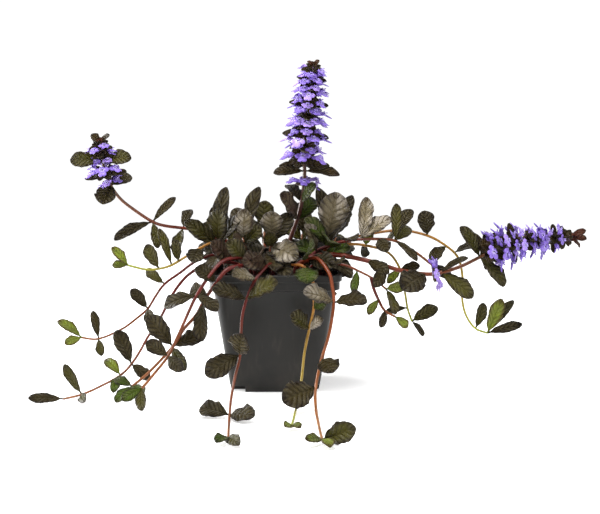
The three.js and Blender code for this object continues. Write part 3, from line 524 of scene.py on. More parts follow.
class Web:
    """Adds shader nodes to one tree and links each as it is made."""

    def __init__(self, tree):
        self.tree = tree

    def add(self, kind, inputs=None, **settings):
        """A new node with its settings and with its inputs fed, by name or number."""
        node = self.tree.nodes.new(kind)
        for name, value in settings.items():
            setattr(node, name, value)
        for key, value in (inputs or {}).items():
            self.feed(node.inputs[key], value)
        return node

    def feed(self, socket, value):
        if isinstance(value, bpy.types.NodeSocket):
            self.tree.links.new(value, socket)
        else:
            socket.default_value = value

    def math(self, operation, first, second=0.0):
        return self.add("ShaderNodeMath", {0: first, 1: second}, operation=operation).outputs[0]

    def times(self, first, second):
        return self.math("MULTIPLY", first, second)

    def waves(self, value):
        """The height of a row of humps that a growing value runs over."""
        return self.math("ABSOLUTE", self.math("SINE", value))

    def ramp(self, value, low, high, start=0.0, end=1.0):
        """Turns a value between low and high smoothly into one between start and end."""
        inputs = dict(enumerate((value, low, high, start, end)))
        return self.add("ShaderNodeMapRange", inputs, interpolation_type="SMOOTHSTEP").outputs[0]

    def fall(self, value, low, high):
        return self.ramp(value, low, high, start=1.0, end=0.0)

    def mixed(self, share, first, second):
        return self.add("ShaderNodeMix", {0: share, 6: first, 7: second}, data_type="RGBA").outputs[2]

    def tinted(self, colour, other, mask, share):
        """Mixes a share of another colour in where the mask is bright."""
        return self.mixed(self.times(mask, share), colour, other)

    def noise(self, vector, scale, detail_levels=3.0, roughness=0.55):
        inputs = {"Vector": vector, "Scale": scale, "Detail": detail_levels, "Roughness": roughness}
        return self.add("ShaderNodeTexNoise", inputs).outputs["Fac"]

    def cells(self, scale, feature="F1"):
        inputs = {"Vector": self.place("Object"), "Scale": scale}
        return self.add("ShaderNodeTexVoronoi", inputs, feature=feature).outputs["Distance"]

    def place(self, system):
        return self.add("ShaderNodeTexCoord").outputs[system]

    def parts_of(self, vector):
        return self.add("ShaderNodeSeparateXYZ", {0: vector}).outputs

    def colour_of(self, layer):
        return self.add("ShaderNodeAttribute", attribute_name=layer).outputs["Color"]

    def mottle(self, patch_scale, grain_scale):
        inputs = {"Patch Scale": patch_scale, "Grain Scale": grain_scale}
        return self.add("ShaderNodeGroup", inputs, node_tree=MOTTLE).outputs


def new_group(name, inputs, outputs):
    """A node group with named value sockets, its web, and what it is given and gives back."""
    tree = bpy.data.node_groups.new(name, "ShaderNodeTree")
    for label, value in inputs.items():
        socket = tree.interface.new_socket(name=label, in_out="INPUT", socket_type="NodeSocketFloat")
        socket.default_value = value
    for label in outputs:
        tree.interface.new_socket(name=label, in_out="OUTPUT", socket_type="NodeSocketFloat")
    web = Web(tree)
    return tree, web, web.add("NodeGroupInput").outputs, web.add("NodeGroupOutput").inputs


def make_vein_group():
    """Masks of a leaf from its UV map: midrib, side veins, rim, tip, and the height of its skin."""
    tree, web, given, result = new_group(
        "leaf_veins", {"Side Veins": SIDE_VEINS, "Vein Slant": VEIN_SLANT},
        ["Midrib", "Veins", "Rim", "Tip", "Height"])
    across, along, _ = web.parts_of(web.place("UV"))
    away = web.times(web.math("ABSOLUTE", web.math("SUBTRACT", across, 0.5)), 2.0)
    slanted = web.math("SUBTRACT", along, web.times(away, given["Vein Slant"]))
    panel = web.waves(web.times(web.times(slanted, given["Side Veins"]), pi))
    midrib = web.fall(away, 0.02, 0.13)
    veins = web.fall(panel, 0.04, 0.34)
    creases = web.ramp(web.cells(900.0, "DISTANCE_TO_EDGE"), 0.0, 0.25, start=0.0, end=0.35)
    height = web.math("SUBTRACT", web.math("POWER", panel, PANEL_ROUNDNESS), web.times(midrib, 0.8))
    web.feed(result["Midrib"], midrib)
    web.feed(result["Veins"], web.times(veins, web.fall(away, 0.82, 0.98)))
    web.feed(result["Rim"], web.ramp(away, 0.45, 0.95))
    web.feed(result["Tip"], web.ramp(along, 0.72, 1.0))
    web.feed(result["Height"], web.math("ADD", height, creases))
    return tree


def make_mottle_group():
    """Uneven patches and fine grain over any surface, for colour and for gloss."""
    tree, web, given, result = new_group(
        "mottle", {"Patch Scale": 120.0, "Grain Scale": 900.0}, ["Patches", "Grain"])
    place = web.place("Object")
    web.feed(result["Patches"], web.ramp(web.noise(place, given["Patch Scale"]), 0.32, 0.68))
    web.feed(result["Grain"], web.noise(place, given["Grain Scale"], detail_levels=2.0, roughness=0.6))
    return tree


VEINS = make_vein_group()
MOTTLE = make_mottle_group()


def new_material(name):
    material = bpy.data.materials.new(name)
    material.use_nodes = True
    return material, Web(material.node_tree)


def dress(material, web, height=None, bump=(), **inputs):
    """Feeds the shader: its inputs by name, and a height by the strength and distance of its bump."""
    shader = material.node_tree.nodes["Principled BSDF"]
    if bump:
        strength, distance = bump
        bumps = web.add("ShaderNodeBump", {"Strength": strength, "Distance": distance, "Height": height})
        inputs["Normal"] = bumps.outputs["Normal"]
    for name, value in inputs.items():
        web.feed(shader.inputs[name.replace("_", " ")], value)
    return material


def roughness_of(web, grain, smooth, rough, low=0.3, high=0.7):
    return web.ramp(grain, low, high, start=smooth, end=rough)


def leaf_skin():
    """Waxy puckered leaf: darker at rim and tip, with a paler midrib, painted shade in the side veins,
    painted highlights on its ridges and a painted silver sheen on the humps of pale leaves.
    """
    material, web = new_material("leaf_skin")
    veins = web.add("ShaderNodeGroup", node_tree=VEINS).outputs
    mottle, sheen_highlight = web.mottle(160.0, 1100.0), web.mottle(75.0, 700.0)
    heart, rim = web.colour_of("heart"), web.colour_of("rim")
    colour = web.mixed(web.math("MAXIMUM", veins["Rim"], veins["Tip"]), heart, rim)
    dark = web.mixed(0.6, colour, linear(LEAF_SHADOW))
    # The midrib's own paler tone, also used as a painted highlight on the ridges
    pale = web.mixed(0.35, heart, linear(LEAF_PALE_AND_HIGHLIGHT))
    # A painted silver sheen highlight
    silver = web.mixed(0.6, heart, linear(LEAF_SHEEN_HIGHLIGHT))
    # Painted highlight on the raised panels between the veins
    ridge_highlights = web.times(web.ramp(veins["Height"], 0.55, 1.05), mottle["Patches"])
    channels = web.add("ShaderNodeSeparateColor", {0: heart}).outputs
    paleness = web.ramp(channels["Blue"], 0.03, 0.08)
    raised = web.ramp(veins["Height"], 0.3, 0.9)
    # Painted sheen on the raised humps, only on pale leaves
    humps = web.times(web.ramp(sheen_highlight["Patches"], 0.4, 0.9), raised)
    # Painted shade goes into the grooves of the side veins
    for other, mask, mark in ((dark, mottle["Patches"], "shadow"), (pale, ridge_highlights, "ridge_highlight"),
                              (silver, web.times(humps, paleness), "sheen_highlight"),
                              (dark, veins["Veins"], "vein_shade"), (pale, veins["Midrib"], "midrib")):
        colour = web.tinted(colour, other, mask, LEAF_MARKS[mark])
    return dress(material, web, veins["Height"], bump=(0.9, 0.0008), Base_Color=colour,
                 Roughness=roughness_of(web, mottle["Grain"], smooth=0.26, rough=0.42),
                 Specular_IOR_Level=web.ramp(paleness, 0.0, 1.0, start=0.16, end=0.4))


def stem_skin():
    """Glossy square stem, its colour uneven along it."""
    material, web = new_material("stem_skin")
    mottle, heart = web.mottle(260.0, 1800.0), web.colour_of("heart")
    dark = web.mixed(0.55, heart, linear(STEM_SHADOW))
    return dress(material, web, mottle["Grain"], bump=(0.25, 0.0003), Specular_IOR_Level=0.3,
                 Base_Color=web.tinted(heart, dark, mottle["Patches"], 0.5),
                 Roughness=roughness_of(web, mottle["Grain"], smooth=0.28, rough=0.45))


def petal_skin():
    """Thin petal: a pale throat, darker lobes and fine lines that fan out from the throat."""
    material, web = new_material("petal_skin")
    mottle = web.mottle(400.0, 2500.0)
    across, along, _ = web.parts_of(web.place("UV"))
    colour = web.mixed(web.ramp(along, 0.05, 0.55), web.colour_of("heart"), web.colour_of("rim"))
    lines = web.fall(web.waves(web.times(across, 34.0)), 0.0, 0.4)
    fading = web.times(lines, web.ramp(along, 0.25, 0.8, start=0.5, end=0.0))
    return dress(material, web, web.math("ADD", lines, mottle["Grain"]), bump=(0.3, 0.0002),
                 Base_Color=web.mixed(fading, colour, linear(PETAL_LINES)), Sheen_Weight=0.15,
                 Roughness=roughness_of(web, mottle["Grain"], smooth=0.45, rough=0.62))


def pot_plastic():
    """Charcoal moulded plastic, faintly grained, with pale dust low down and in upright streaks."""
    material, web = new_material("pot_plastic")
    mottle = web.mottle(45.0, 2200.0)
    streaks = web.add("ShaderNodeMapping", {"Vector": web.place("Object"), "Scale": (1.0, 1.0, 0.12)})
    runs = web.ramp(web.noise(streaks.outputs[0], 190.0, detail_levels=4.0), 0.52, 0.72)
    height = web.parts_of(web.place("Object"))[2]
    low_down = web.ramp(height, 0.0, 0.03, start=0.35, end=0.05)
    dust = web.times(web.math("ADD", low_down, web.times(runs, 0.25)), mottle["Patches"])
    plain = roughness_of(web, mottle["Grain"], smooth=0.36, rough=0.46)
    return dress(material, web, mottle["Grain"], bump=(0.2, 0.0002), Specular_IOR_Level=0.25,
                 Base_Color=web.mixed(dust, *tones(POT_TONES)),
                 Roughness=web.math("ADD", web.times(dust, 0.3), plain))


def bark_mix():
    """Moist bark and peat: dark crumbs with a few paler fibres."""
    material, web = new_material("bark_mix")
    mottle, crumbs = web.mottle(300.0, 1500.0), web.cells(420.0)
    fibres = web.ramp(crumbs, 0.5, 0.9, start=0.0, end=0.4)
    colour = web.mixed(mottle["Patches"], *tones(BARK_TONES))
    return dress(material, web, web.math("ADD", crumbs, mottle["Grain"]), bump=(0.8, 0.0012),
                 Base_Color=web.mixed(fibres, colour, linear(BARK_FIBRE)),
                 Roughness=roughness_of(web, mottle["Grain"], smooth=0.7, rough=0.95, low=0.2, high=0.8))


def pale_floor():
    """Matt studio floor that glows a little, so that shadows stay faint."""
    material, web = new_material("pale_floor")
    pale = web.mixed(web.mottle(3.0, 60.0)["Patches"], *tones(FLOOR_TONES))
    return dress(material, web, Base_Color=pale, Emission_Color=pale, Emission_Strength=FLOOR_GLOW,
                 Roughness=0.9, Specular_IOR_Level=0.0)


# Meshes


def new_bmesh():
    """A bmesh with a UV map and the two colour layers that the leaf, stem and petal materials read."""
    bm = bmesh.new()
    bm.loops.layers.uv.verify()
    for layer in ("heart", "rim"):
        bm.verts.layers.float_color.new(layer)
    return bm


def paint(bm, verts, heart, rim):
    hearts, rims = bm.verts.layers.float_color["heart"], bm.verts.layers.float_color["rim"]
    for vert in verts:
        vert[hearts] = heart
        vert[rims] = rim


def loose_object(name, bm):
    mesh = bpy.data.meshes.new(name)
    bm.to_mesh(mesh)
    bm.free()
    made = bpy.data.objects.new(name, mesh)
    bpy.context.scene.collection.objects.link(made)
    return made


def finish_piece(name, bm, material, nodes, thickness=0.0, sharp=180.0):
    """Turns a bmesh into a piece that rides on the plant and stands for CAD nodes."""
    bmesh.ops.scale(bm, vec=(METRES, METRES, METRES), verts=bm.verts)
    for face in bm.faces:
        face.smooth = True
    piece = loose_object(name, bm)
    if sharp < 180.0:
        piece.data.set_sharp_from_angle(angle=radians(sharp))
    piece.data.materials.append(material)
    if thickness:
        skin = piece.modifiers.new("thickness", "SOLIDIFY")
        skin.thickness = thickness * METRES
        skin.offset = 0.0
    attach(piece, "root")
    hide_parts(*nodes)
    return piece


def extruded_ring(bm, edges):
    """Grows a new ring from a ring of edges: its verts and its edges."""
    made = bmesh.ops.extrude_edge_only(bm, edges=edges)["geom"]
    verts = [item for item in made if isinstance(item, bmesh.types.BMVert)]
    ring = set(verts)
    return verts, [item for item in made
                   if isinstance(item, bmesh.types.BMEdge) and ring.issuperset(item.verts)]


def cone_at(bm, place, turned, radii, length, sides, **more):
    """The verts of a cone whose middle stands at a place."""
    return bmesh.ops.create_cone(bm, segments=sides, radius1=radii[0], radius2=radii[1], depth=length,
                                 matrix=Matrix.Translation(place) @ turned, **more)["verts"]


def direction(bearing, rise):
    flat = cos(rise)
    return Vector((flat * cos(bearing), flat * sin(bearing), sin(rise)))


def blend_in(share):
    """Runs smoothly from 0 at the start to 1 at the end."""
    share = min(max(share, 0.0), 1.0)
    return share * share * (3 - 2 * share)


# Stems


class Route:
    """A smooth curve through points. Its points before 0 are the root's."""

    LENGTH_STEPS = 60

    def __init__(self, points, before=0):
        self.points = [Vector(point) for point in points]
        self.before = before

    def at_share(self, share):
        spans = len(self.points) - 1
        index = min(int(share * spans), spans - 1)
        local = share * spans - index
        start, end = self.points[index], self.points[index + 1]
        ahead = self.points[index + 2] if index + 2 <= spans else 2 * end - start
        behind = self.points[index - 1] if index > 0 else 2 * start - end
        leave, arrive = (end - behind) * 0.5, (ahead - start) * 0.5
        square, cube = local ** 2, local ** 3
        return (start * (2 * cube - 3 * square + 1) + leave * (cube - 2 * square + local)
                + end * (3 * square - 2 * cube) + arrive * (cube - square))

    def heading_at(self, share, step):
        ahead, behind = self.at_share(min(share + step, 1.0)), self.at_share(max(share - step, 0.0))
        return (ahead - behind).normalized()

    def share_of(self, at):
        return (at + self.before) / (len(self.points) - 1)

    def place(self, at):
        return self.at_share(self.share_of(at))

    def heading(self, at):
        return self.heading_at(self.share_of(at), step=0.002)

    def last(self):
        return len(self.points) - 1 - self.before

    def length(self):
        places = [self.at_share(k / self.LENGTH_STEPS) for k in range(self.LENGTH_STEPS + 1)]
        return sum((b - a).length for a, b in zip(places, places[1:]))


def rooted(route):
    """A rooted route starts upright below the surface of the potting mix."""
    x, y, _ = route[0]
    roots = [(x, y, MIX_EDGE_HEIGHT - ROOT_DEPTH), (x, y, MIX_CROWN_HEIGHT)]
    return Route([*roots, *route], ROOT_POINTS)


def add_stem(bm, route, thick, look):
    """A soft-cornered square stem along its route, thinner and paler towards the tip."""
    root, middle, tip = tones(STEM_LOOKS[look])
    rings = max(6, round(route.length() / STEM_RING_GAP))
    ring = bmesh.ops.create_circle(bm, segments=STEM_SIDES, radius=1.0, cap_ends=True)["verts"]
    edges = list({edge for vert in ring for edge in vert.link_edges})
    across = Vector((1, 0, 0))
    for k in range(rings + 1):
        share = k / rings
        if k:
            ring, edges = extruded_ring(bm, edges)
        heading = route.heading_at(share, step=0.004)
        across = (across - heading * across.dot(heading)).normalized()
        upward = heading.cross(across)
        radius = thick[0] + (thick[1] - thick[0]) * share
        colour = blended(root, middle, share * 2) if share < 0.5 else blended(middle, tip, share * 2 - 1)
        colour = shaded(colour, detail.between(0.85, 1.15))
        for number, vert in enumerate(ring):
            angle = tau * number / STEM_SIDES
            reach = radius * (1 - STEM_SQUARENESS * (number % 2))
            vert.co = route.at_share(share) + (across * cos(angle) + upward * sin(angle)) * reach
        paint(bm, ring, colour, colour)
    bmesh.ops.edgeloop_fill(bm, edges=edges)


# Leaves


@dataclass
class Leaf:
    """A blade from its base to its tip, turned by its roll about its length."""

    base: Vector
    tip: Vector
    width: float
    look: str = "bronze"
    roll: float = 0.0
    fullness: float = LEAF_FULLNESS
    fold: float = LEAF_FOLD
    arch: float = 0.07

    @classmethod
    def out_of(cls, base, way, reach, share, *look, **form):
        """A blade of a reach along a way, as wide as a share of its reach."""
        return cls(base, base + way * reach, share * reach, *look, **form)

    def axes(self):
        """Along the blade, across it, and out of its upper face, which turns to the light."""
        along = (self.tip - self.base).normalized()
        face = Vector((self.base.x, self.base.y, 0)).normalized() * OUTWARD_LEAN + LIGHT
        face = (face - along * face.dot(along)).normalized()
        face = Matrix.Rotation(self.roll, 3, along) @ face
        return along, along.cross(face), face


def edge_waves(width):
    """How many rows of waves the edge of a blade of this width carries."""
    return next(rows for least, rows in WAVES_BY_WIDTH if width >= least)


def half_width(width, along, fullness):
    """Half the width of a blade from its base (0) to its tip (1)."""
    return width / 2 * max(sin(pi * along ** fullness), 0.0) ** EDGE_ROUNDNESS


def blade_edge(leaf, side, share, wave, scallops):
    """How far a blade's edge stands from its midrib: its outline, waves, scallops and stalk."""
    to_tip = 1 - share
    scallop = 1 + SCALLOP_DEPTH * scallops * side ** 4 * min(1, 4 * to_tip)
    width = leaf.width * (1 + EDGE_WAVE * wave * side)
    edge = half_width(width, min(share, BLUNT_TIP), leaf.fullness) * scallop * blend_in(share / STALK_SHARE)
    return max(edge, STALK_HALF * min(1.0, 12 * to_tip))


def blade_relief(away, share):
    """How far the skin stands up between the side veins, less the groove of the midrib, by leaf width."""
    panel = abs(sin(pi * SIDE_VEINS * (share - VEIN_SLANT * away))) ** PANEL_ROUNDNESS
    pucker = (panel - 0.5) * min(1, 3 * away) * (1 - away ** 4) * sin(pi * share)
    groove = exp(-(away / GROOVE_SHARE) ** 2) * min(1, 3 * (1 - share))
    return PUCKER_HEIGHT * pucker - GROOVE_DEPTH * groove


def add_leaf(bm, leaf):
    """A blade on its stalk: folded at the midrib, arched, puckered between veins, with a waved edge."""
    along, across, face = leaf.axes()
    length = (leaf.tip - leaf.base).length
    rows = edge_waves(leaf.width)
    teeth = max(3, round(length / SCALLOP_GAP))
    phase = detail.between(0, tau)
    curl = detail.between(*TIP_CURL) * length
    verts = bmesh.ops.create_grid(bm, x_segments=BLADE_COLUMNS, y_segments=BLADE_ROWS, size=0.5,
                                  calc_uvs=True)["verts"]
    for vert in verts:
        side, share = 2 * vert.co.x, vert.co.y + 0.5
        away = abs(side)
        wave = cos(pi * rows * share)
        edge = blade_edge(leaf, side, share, wave, cos(tau * teeth * share + phase))
        lift = edge * away * (leaf.fold + 2.5 * EDGE_WAVE * wave * side * away)
        arch = leaf.arch * length * 4 * share * (1 - share)
        droop = curl * max(0.0, share - CURL_START) ** 2 / CURL_SPREAD
        height = lift + arch + leaf.width * blade_relief(away, share) - droop
        vert.co = leaf.base + along * share * length + across * side * edge + face * height
    heart, rim = tones(LEAF_LOOKS[leaf.look])
    tone = detail.between(*LEAF_TONES)
    paint(bm, verts, shaded(heart, tone), shaded(rim, tone * detail.between(0.9, 1.1)))


def placed_leaves(route, rows):
    return [Leaf(route.place(at), Vector(tip), width, *look, roll=LEAF_TWIST * sin(2.4 * number))
            for number, (at, tip, width, *look) in enumerate(rows)]


def paired_leaves(route, pairs):
    """Opposite leaves, each pair a quarter turn on."""
    for number, (at, length, lift) in enumerate(pairs["rows"]):
        for half in (0, 180):
            bearing = radians(pairs["turn"] + 90 * number + half + growth.near(14))
            rise = radians(lift + growth.near(6))
            reach = length * growth.between(0.9, 1.08)
            yield Leaf.out_of(route.place(at), direction(bearing, rise), reach, PAIR_WIDTH,
                              pairs["look"], roll=growth.near(0.3), arch=0.09)


def inner_leaves(route):
    """Small dark leaves low in the crown that close the gaps over the rim."""
    for number in range(INNER_LEAVES):
        bearing = tau * number / INNER_LEAVES + detail.near(0.4)
        rise = detail.between(-0.15, 0.5)
        reach = detail.between(*INNER_REACH)
        base = route.place(detail.between(-0.6, 0.9))
        yield Leaf.out_of(base, direction(bearing, rise), reach, INNER_WIDTH, "shade",
                          roll=detail.near(0.3), fold=0.2, arch=0.12)


# Flowers


@dataclass
class Whorl:
    """A ring of florets round a stem. Neighbouring numbers stand a part of a turn apart."""

    place: Vector
    upward: Vector
    reach: float
    number: int

    def out(self, angle, rise):
        first = self.upward.cross(Vector((0, 1, 0))).normalized()
        flat = first * cos(angle) + self.upward.cross(first) * sin(angle)
        return flat * cos(rise) + self.upward * sin(rise)


def whorl_at(route, at, reach, number):
    return Whorl(route.place(at), route.heading(at), reach, number)


def whorls_of(head, route):
    whorls = []
    low, high = head["spread"]
    for number in range(head["whorls"]):
        share = number / (head["whorls"] - 1)
        at = head["from"] + (head["to"] - head["from"]) * share
        whorls.append(whorl_at(route, at, low + (high - low) * share ** 1.5, number))
    return whorls


def filled_whorls(head, route, whorls):
    """The open whorls, and a smaller one in each gap between them."""
    gap = (head["to"] - head["from"]) / (head["whorls"] - 1)
    least, growing = BETWEEN_SIZE
    between = [whorl_at(route, head["from"] + gap * (number + 0.5),
                        upper.reach * (least + growing * number / head["whorls"]), number + 1)
               for number, upper in enumerate(whorls[1:])]
    return whorls + between


def bracts_of(whorls):
    """Two opposite bracts under each whorl, each pair a quarter turn on."""
    for whorl in whorls:
        for half in (0, pi):
            out = whorl.out(half + whorl.number * pi / 2, 0)
            base = whorl.place - whorl.upward * BRACT_DROP * whorl.reach
            yield Leaf(base, base + out * whorl.reach * BRACT_LENGTH,
                       max(MIN_BRACT_WIDTH, whorl.reach * BRACT_WIDTH), "bract",
                       fullness=BRACT_FULLNESS, fold=0.1, arch=0.02)


def small_bracts_of(whorls):
    """Short hanging bracts that show between the florets of every whorl."""
    for whorl in whorls:
        for number in range(SMALL_BRACTS):
            angle = tau * (number + 0.5 * (whorl.number % 2)) / SMALL_BRACTS + detail.near(0.2)
            out = whorl.out(angle, detail.between(-0.7, -0.3))
            base = whorl.place - whorl.upward * detail.between(0.5, 2.0)
            tip = base + out * whorl.reach * detail.between(0.72, 0.86)
            yield Leaf(base, tip, whorl.reach * SMALL_BRACT_WIDTH, "bract", roll=detail.near(0.3),
                       fullness=SMALL_BRACT_FULLNESS, fold=0.12, arch=0.12)


def tip_whorls(route, head, start, reach, taper):
    """Rings above the last open whorl, each with its share of the way to the tip."""
    room = route.last() - head["to"]
    for ring in range(TIP_RINGS):
        share = ring / (TIP_RINGS - 1)
        at = head["to"] + room * (start + (1 - start) * share)
        yield share, whorl_at(route, at, reach - taper * share, ring)


def tip_bracts_of(route, head):
    """Small bracts round the closed buds above the last open whorl, redder towards the tip."""
    for share, whorl in tip_whorls(route, head, start=0.2, reach=8, taper=3.5):
        look = "bract" if whorl.number < TIP_RINGS - 2 else "bud"
        for number in range(TIP_BRACTS):
            angle = tau * (number + 0.5 * whorl.number) / TIP_BRACTS + detail.near(0.2)
            tip = whorl.place + whorl.out(angle, 0.15 + share) * whorl.reach
            yield Leaf(whorl.place, tip, 5.0 - 2.2 * share, look, roll=detail.near(0.4),
                       fullness=SMALL_BRACT_FULLNESS, fold=0.2, arch=0.1)


def add_petal_fan(bm, mouth, side, forward, reach, lobes, colours):
    """A fan of petal out of the mouth; lobes gives its outline as reach by angle."""
    normal = forward.cross(side)
    gaps = len(lobes) - 1
    verts = bmesh.ops.create_grid(bm, x_segments=gaps * 3, y_segments=4, size=0.5, calc_uvs=True)["verts"]
    for vert in verts:
        turn, share = (vert.co.x + 0.5) * gaps, vert.co.y + 0.5
        index = min(int(turn), gaps - 1)
        angle, lobe = blended(lobes[index], lobes[index + 1], turn - index)
        angle = radians(angle)
        out = share * reach * lobe
        cup = reach * (0.22 * (share - share ** 2) + 0.1 * share ** 2 * cos(3 * angle))
        vert.co = (mouth + side * sin(angle) * (0.5 + out) + forward * cos(angle) * (0.4 + out)
                   + normal * cup)
    paint(bm, verts, *colours)


def floret_frame(whorl, angle, rise):
    """Sideways, upwards and outwards of a floret, and the turn that stands a cone along it."""
    out = whorl.out(angle, rise)
    side = whorl.upward.cross(out).normalized()
    up = out.cross(side)
    return side, up, out, Matrix((side, up, out)).transposed().to_4x4()


def add_floret(bm, whorl, angle, reach):
    """A slender tube, a short upper lip, a hanging lower lip of three lobes, and two stamens."""
    side, up, out, turned = floret_frame(whorl, angle, 0.25 + detail.near(0.15))
    start = whorl.place + whorl.upward * detail.between(*FLORET_STARTS)
    lip = LIP_SHARE * reach + LIP_EXTRA
    tube = reach - 0.45 * lip
    colours = tones(PETAL_LOOKS[int(detail.between(0, len(PETAL_LOOKS) - 0.001))])
    verts = cone_at(bm, start + out * tube * 0.5, turned, TUBE_RADII, tube, TUBE_SIDES,
                    calc_uvs=True)
    paint(bm, verts, *colours)
    mouth = start + out * tube
    hang = detail.between(*LIP_HANG)
    add_petal_fan(bm, mouth, side, out * cos(hang) - up * sin(hang), lip, LOWER_LIP, colours)
    rising = (up * 0.9 + out * 0.35).normalized()
    add_petal_fan(bm, mouth, side, rising, lip * UPPER_LIP_SHARE, UPPER_LIP, colours)
    for shift in (-STAMEN_SHIFT, STAMEN_SHIFT):
        middle = mouth + side * shift + (out * 0.8 + up * 0.3) * STAMEN_LENGTH * 0.4
        verts = cone_at(bm, middle, turned, STAMEN_RADII, STAMEN_LENGTH, STAMEN_SIDES,
                        cap_ends=True)
        paint(bm, verts, *colours)


def add_calyx(bm, whorl, angle, reach):
    """A toothed green-brown cup that holds a floret's tube."""
    _, _, out, turned = floret_frame(whorl, angle, 0.3)
    start = whorl.place - whorl.upward * 1.5 + out * (0.9 + 0.17 * reach)
    verts = cone_at(bm, start, turned, CALYX_RADII, CALYX_LENGTH * reach, CALYX_SIDES, calc_uvs=True)
    outer = sorted(verts, key=lambda vert: (vert.co - start).dot(out))[CALYX_SIDES:]
    for number, vert in enumerate(outer):
        vert.co += out * CALYX_TOOTH * reach * (number % 2)
    paint(bm, verts, *tones(CALYX_LOOK))


def add_bud(bm, place, out, size):
    turned = out.to_track_quat("Z", "Y").to_matrix().to_4x4()
    egg = Matrix.Translation(place) @ turned @ Matrix.Diagonal((size, size, size * BUD_STRETCH, 1))
    verts = bmesh.ops.create_icosphere(bm, subdivisions=2, radius=1.0, matrix=egg, calc_uvs=True)["verts"]
    heart, rim = tones(BUD_LOOK)
    paint(bm, verts, shaded(heart, detail.between(0.8, 1.3)), rim)


# Pot and potting mix


def next_ring(bm, edges, half, height):
    """Extrudes a ring of wall and lays it at a half width and a height."""
    verts, edges = extruded_ring(bm, edges)
    size = max(vert.co.x for vert in verts)
    bmesh.ops.scale(bm, vec=(half / size, half / size, 1), verts=verts)
    for vert in verts:
        vert.co.z = height
    return edges


def close_foot(bm, edges):
    bmesh.ops.edgeloop_fill(bm, edges=edges)
    bmesh.ops.recalc_face_normals(bm, faces=bm.faces[:])


def rounded_square_solid(profile):
    """A closed form whose rounded-square rings follow a profile of half widths and heights."""
    bm = bmesh.new()
    half, height = profile[0]
    bmesh.ops.create_grid(bm, x_segments=1, y_segments=1, size=half)
    bmesh.ops.bevel(bm, geom=bm.verts[:], offset=POT_CORNER_RADIUS, segments=POT_CORNER_FACETS,
                    profile=0.5, affect="VERTICES", material=-1)
    for vert in bm.verts:
        vert.co.z = height
    edges = bm.edges[:]
    for half, height in profile[1:]:
        edges = next_ring(bm, edges, half, height)
    close_foot(bm, edges)
    return bm


def four_corners(centre):
    return [(x, y) for x in (-centre, centre) for y in (-centre, centre)]


def corner_blocks(grow):
    bm = bmesh.new()
    side, height = 2 * (FOOT_NOTCH + grow), 2 * (FOOT_NOTCH_HEIGHT + grow)
    for x, y in four_corners(BODY_FOOT_HALF + 1):
        block = Matrix.Translation((x, y, 0)) @ Matrix.Diagonal((side, side, height, 1))
        bmesh.ops.create_cube(bm, size=1.0, matrix=block)
    return bm


def drain_rods():
    bm = bmesh.new()
    radii = (DRAIN_HOLE_RADIUS, DRAIN_HOLE_RADIUS)
    for x, y in four_corners(BODY_FOOT_HALF - FOOT_NOTCH / 2 - 0.5):
        cone_at(bm, (x, y, FOOT_NOTCH_HEIGHT), Matrix.Identity(4), radii, 4 * FOOT_NOTCH_HEIGHT,
                DRAIN_HOLE_SIDES, cap_ends=True)
    return bm


def mesh_taken_from(made):
    """The bmesh of a helper object, which is then deleted."""
    bm = bmesh.new()
    bm.from_mesh(made.data)
    bpy.data.objects.remove(made)
    return bm


def cut_from(target, bm):
    """Cuts a closed form out of an object's mesh."""
    tool = loose_object("cutter", bm)
    cut = target.modifiers.new("cut", "BOOLEAN")
    cut.operation = "DIFFERENCE"
    cut.object = tool
    bpy.context.view_layer.update()
    evaluated = target.evaluated_get(bpy.context.evaluated_depsgraph_get())
    target.data = bpy.data.meshes.new_from_object(evaluated)
    target.modifiers.clear()
    bpy.data.objects.remove(tool)


def make_pot():
    """Thin-walled pot: stepped rim, tapering body, notched corners and drain holes."""
    band_foot, lip_foot = POT_HEIGHT - BAND_DEPTH, POT_HEIGHT - LIP_DEPTH
    inside_foot = BODY_FOOT_HALF + (BODY_TOP_HALF - BODY_FOOT_HALF) / band_foot * POT_WALL - POT_WALL
    body = loose_object("body", rounded_square_solid([
        (BODY_FOOT_HALF - FOOT_CHAMFER, 0), (BODY_FOOT_HALF, FOOT_CHAMFER), (BODY_TOP_HALF, band_foot),
        (BAND_HALF, band_foot + BAND_STEP), (BAND_HALF, lip_foot), (LIP_HALF, lip_foot + LIP_STEP),
        (LIP_HALF, POT_HEIGHT)]))
    room = loose_object("room", rounded_square_solid([
        (inside_foot, POT_WALL), (BODY_TOP_HALF - POT_WALL, band_foot + POT_WALL),
        (BAND_HALF - POT_WALL, band_foot + POT_WALL + LIP_STEP), (BAND_HALF - POT_WALL, POT_HEIGHT + 5)]))
    cut_from(room, corner_blocks(POT_WALL))
    for form in (corner_blocks(0), mesh_taken_from(room), drain_rods()):
        cut_from(body, form)
    pot = finish_piece("pot_shell", mesh_taken_from(body), pot_plastic(), ["pot"],
                       sharp=POT_EDGE_ANGLE)
    edge = pot.modifiers.new("moulded_edges", "BEVEL")
    edge.width = POT_EDGE_RADIUS * METRES
    edge.segments = 2
    edge.limit_method = "ANGLE"
    edge.angle_limit = radians(POT_EDGE_ANGLE)
    edge.harden_normals = False


def inside_half(height):
    """Half the width of the mix at a height."""
    slope = (BODY_TOP_HALF - BODY_FOOT_HALF) / (POT_HEIGHT - BAND_DEPTH)
    return BODY_FOOT_HALF + slope * min(height, POT_HEIGHT - BAND_DEPTH) - POT_WALL - MIX_GAP


def mix_height(edge):
    """Height of the mix from its middle (0) to the wall (1)."""
    return MIX_CROWN_HEIGHT - (MIX_CROWN_HEIGHT - MIX_EDGE_HEIGHT) * edge ** 4


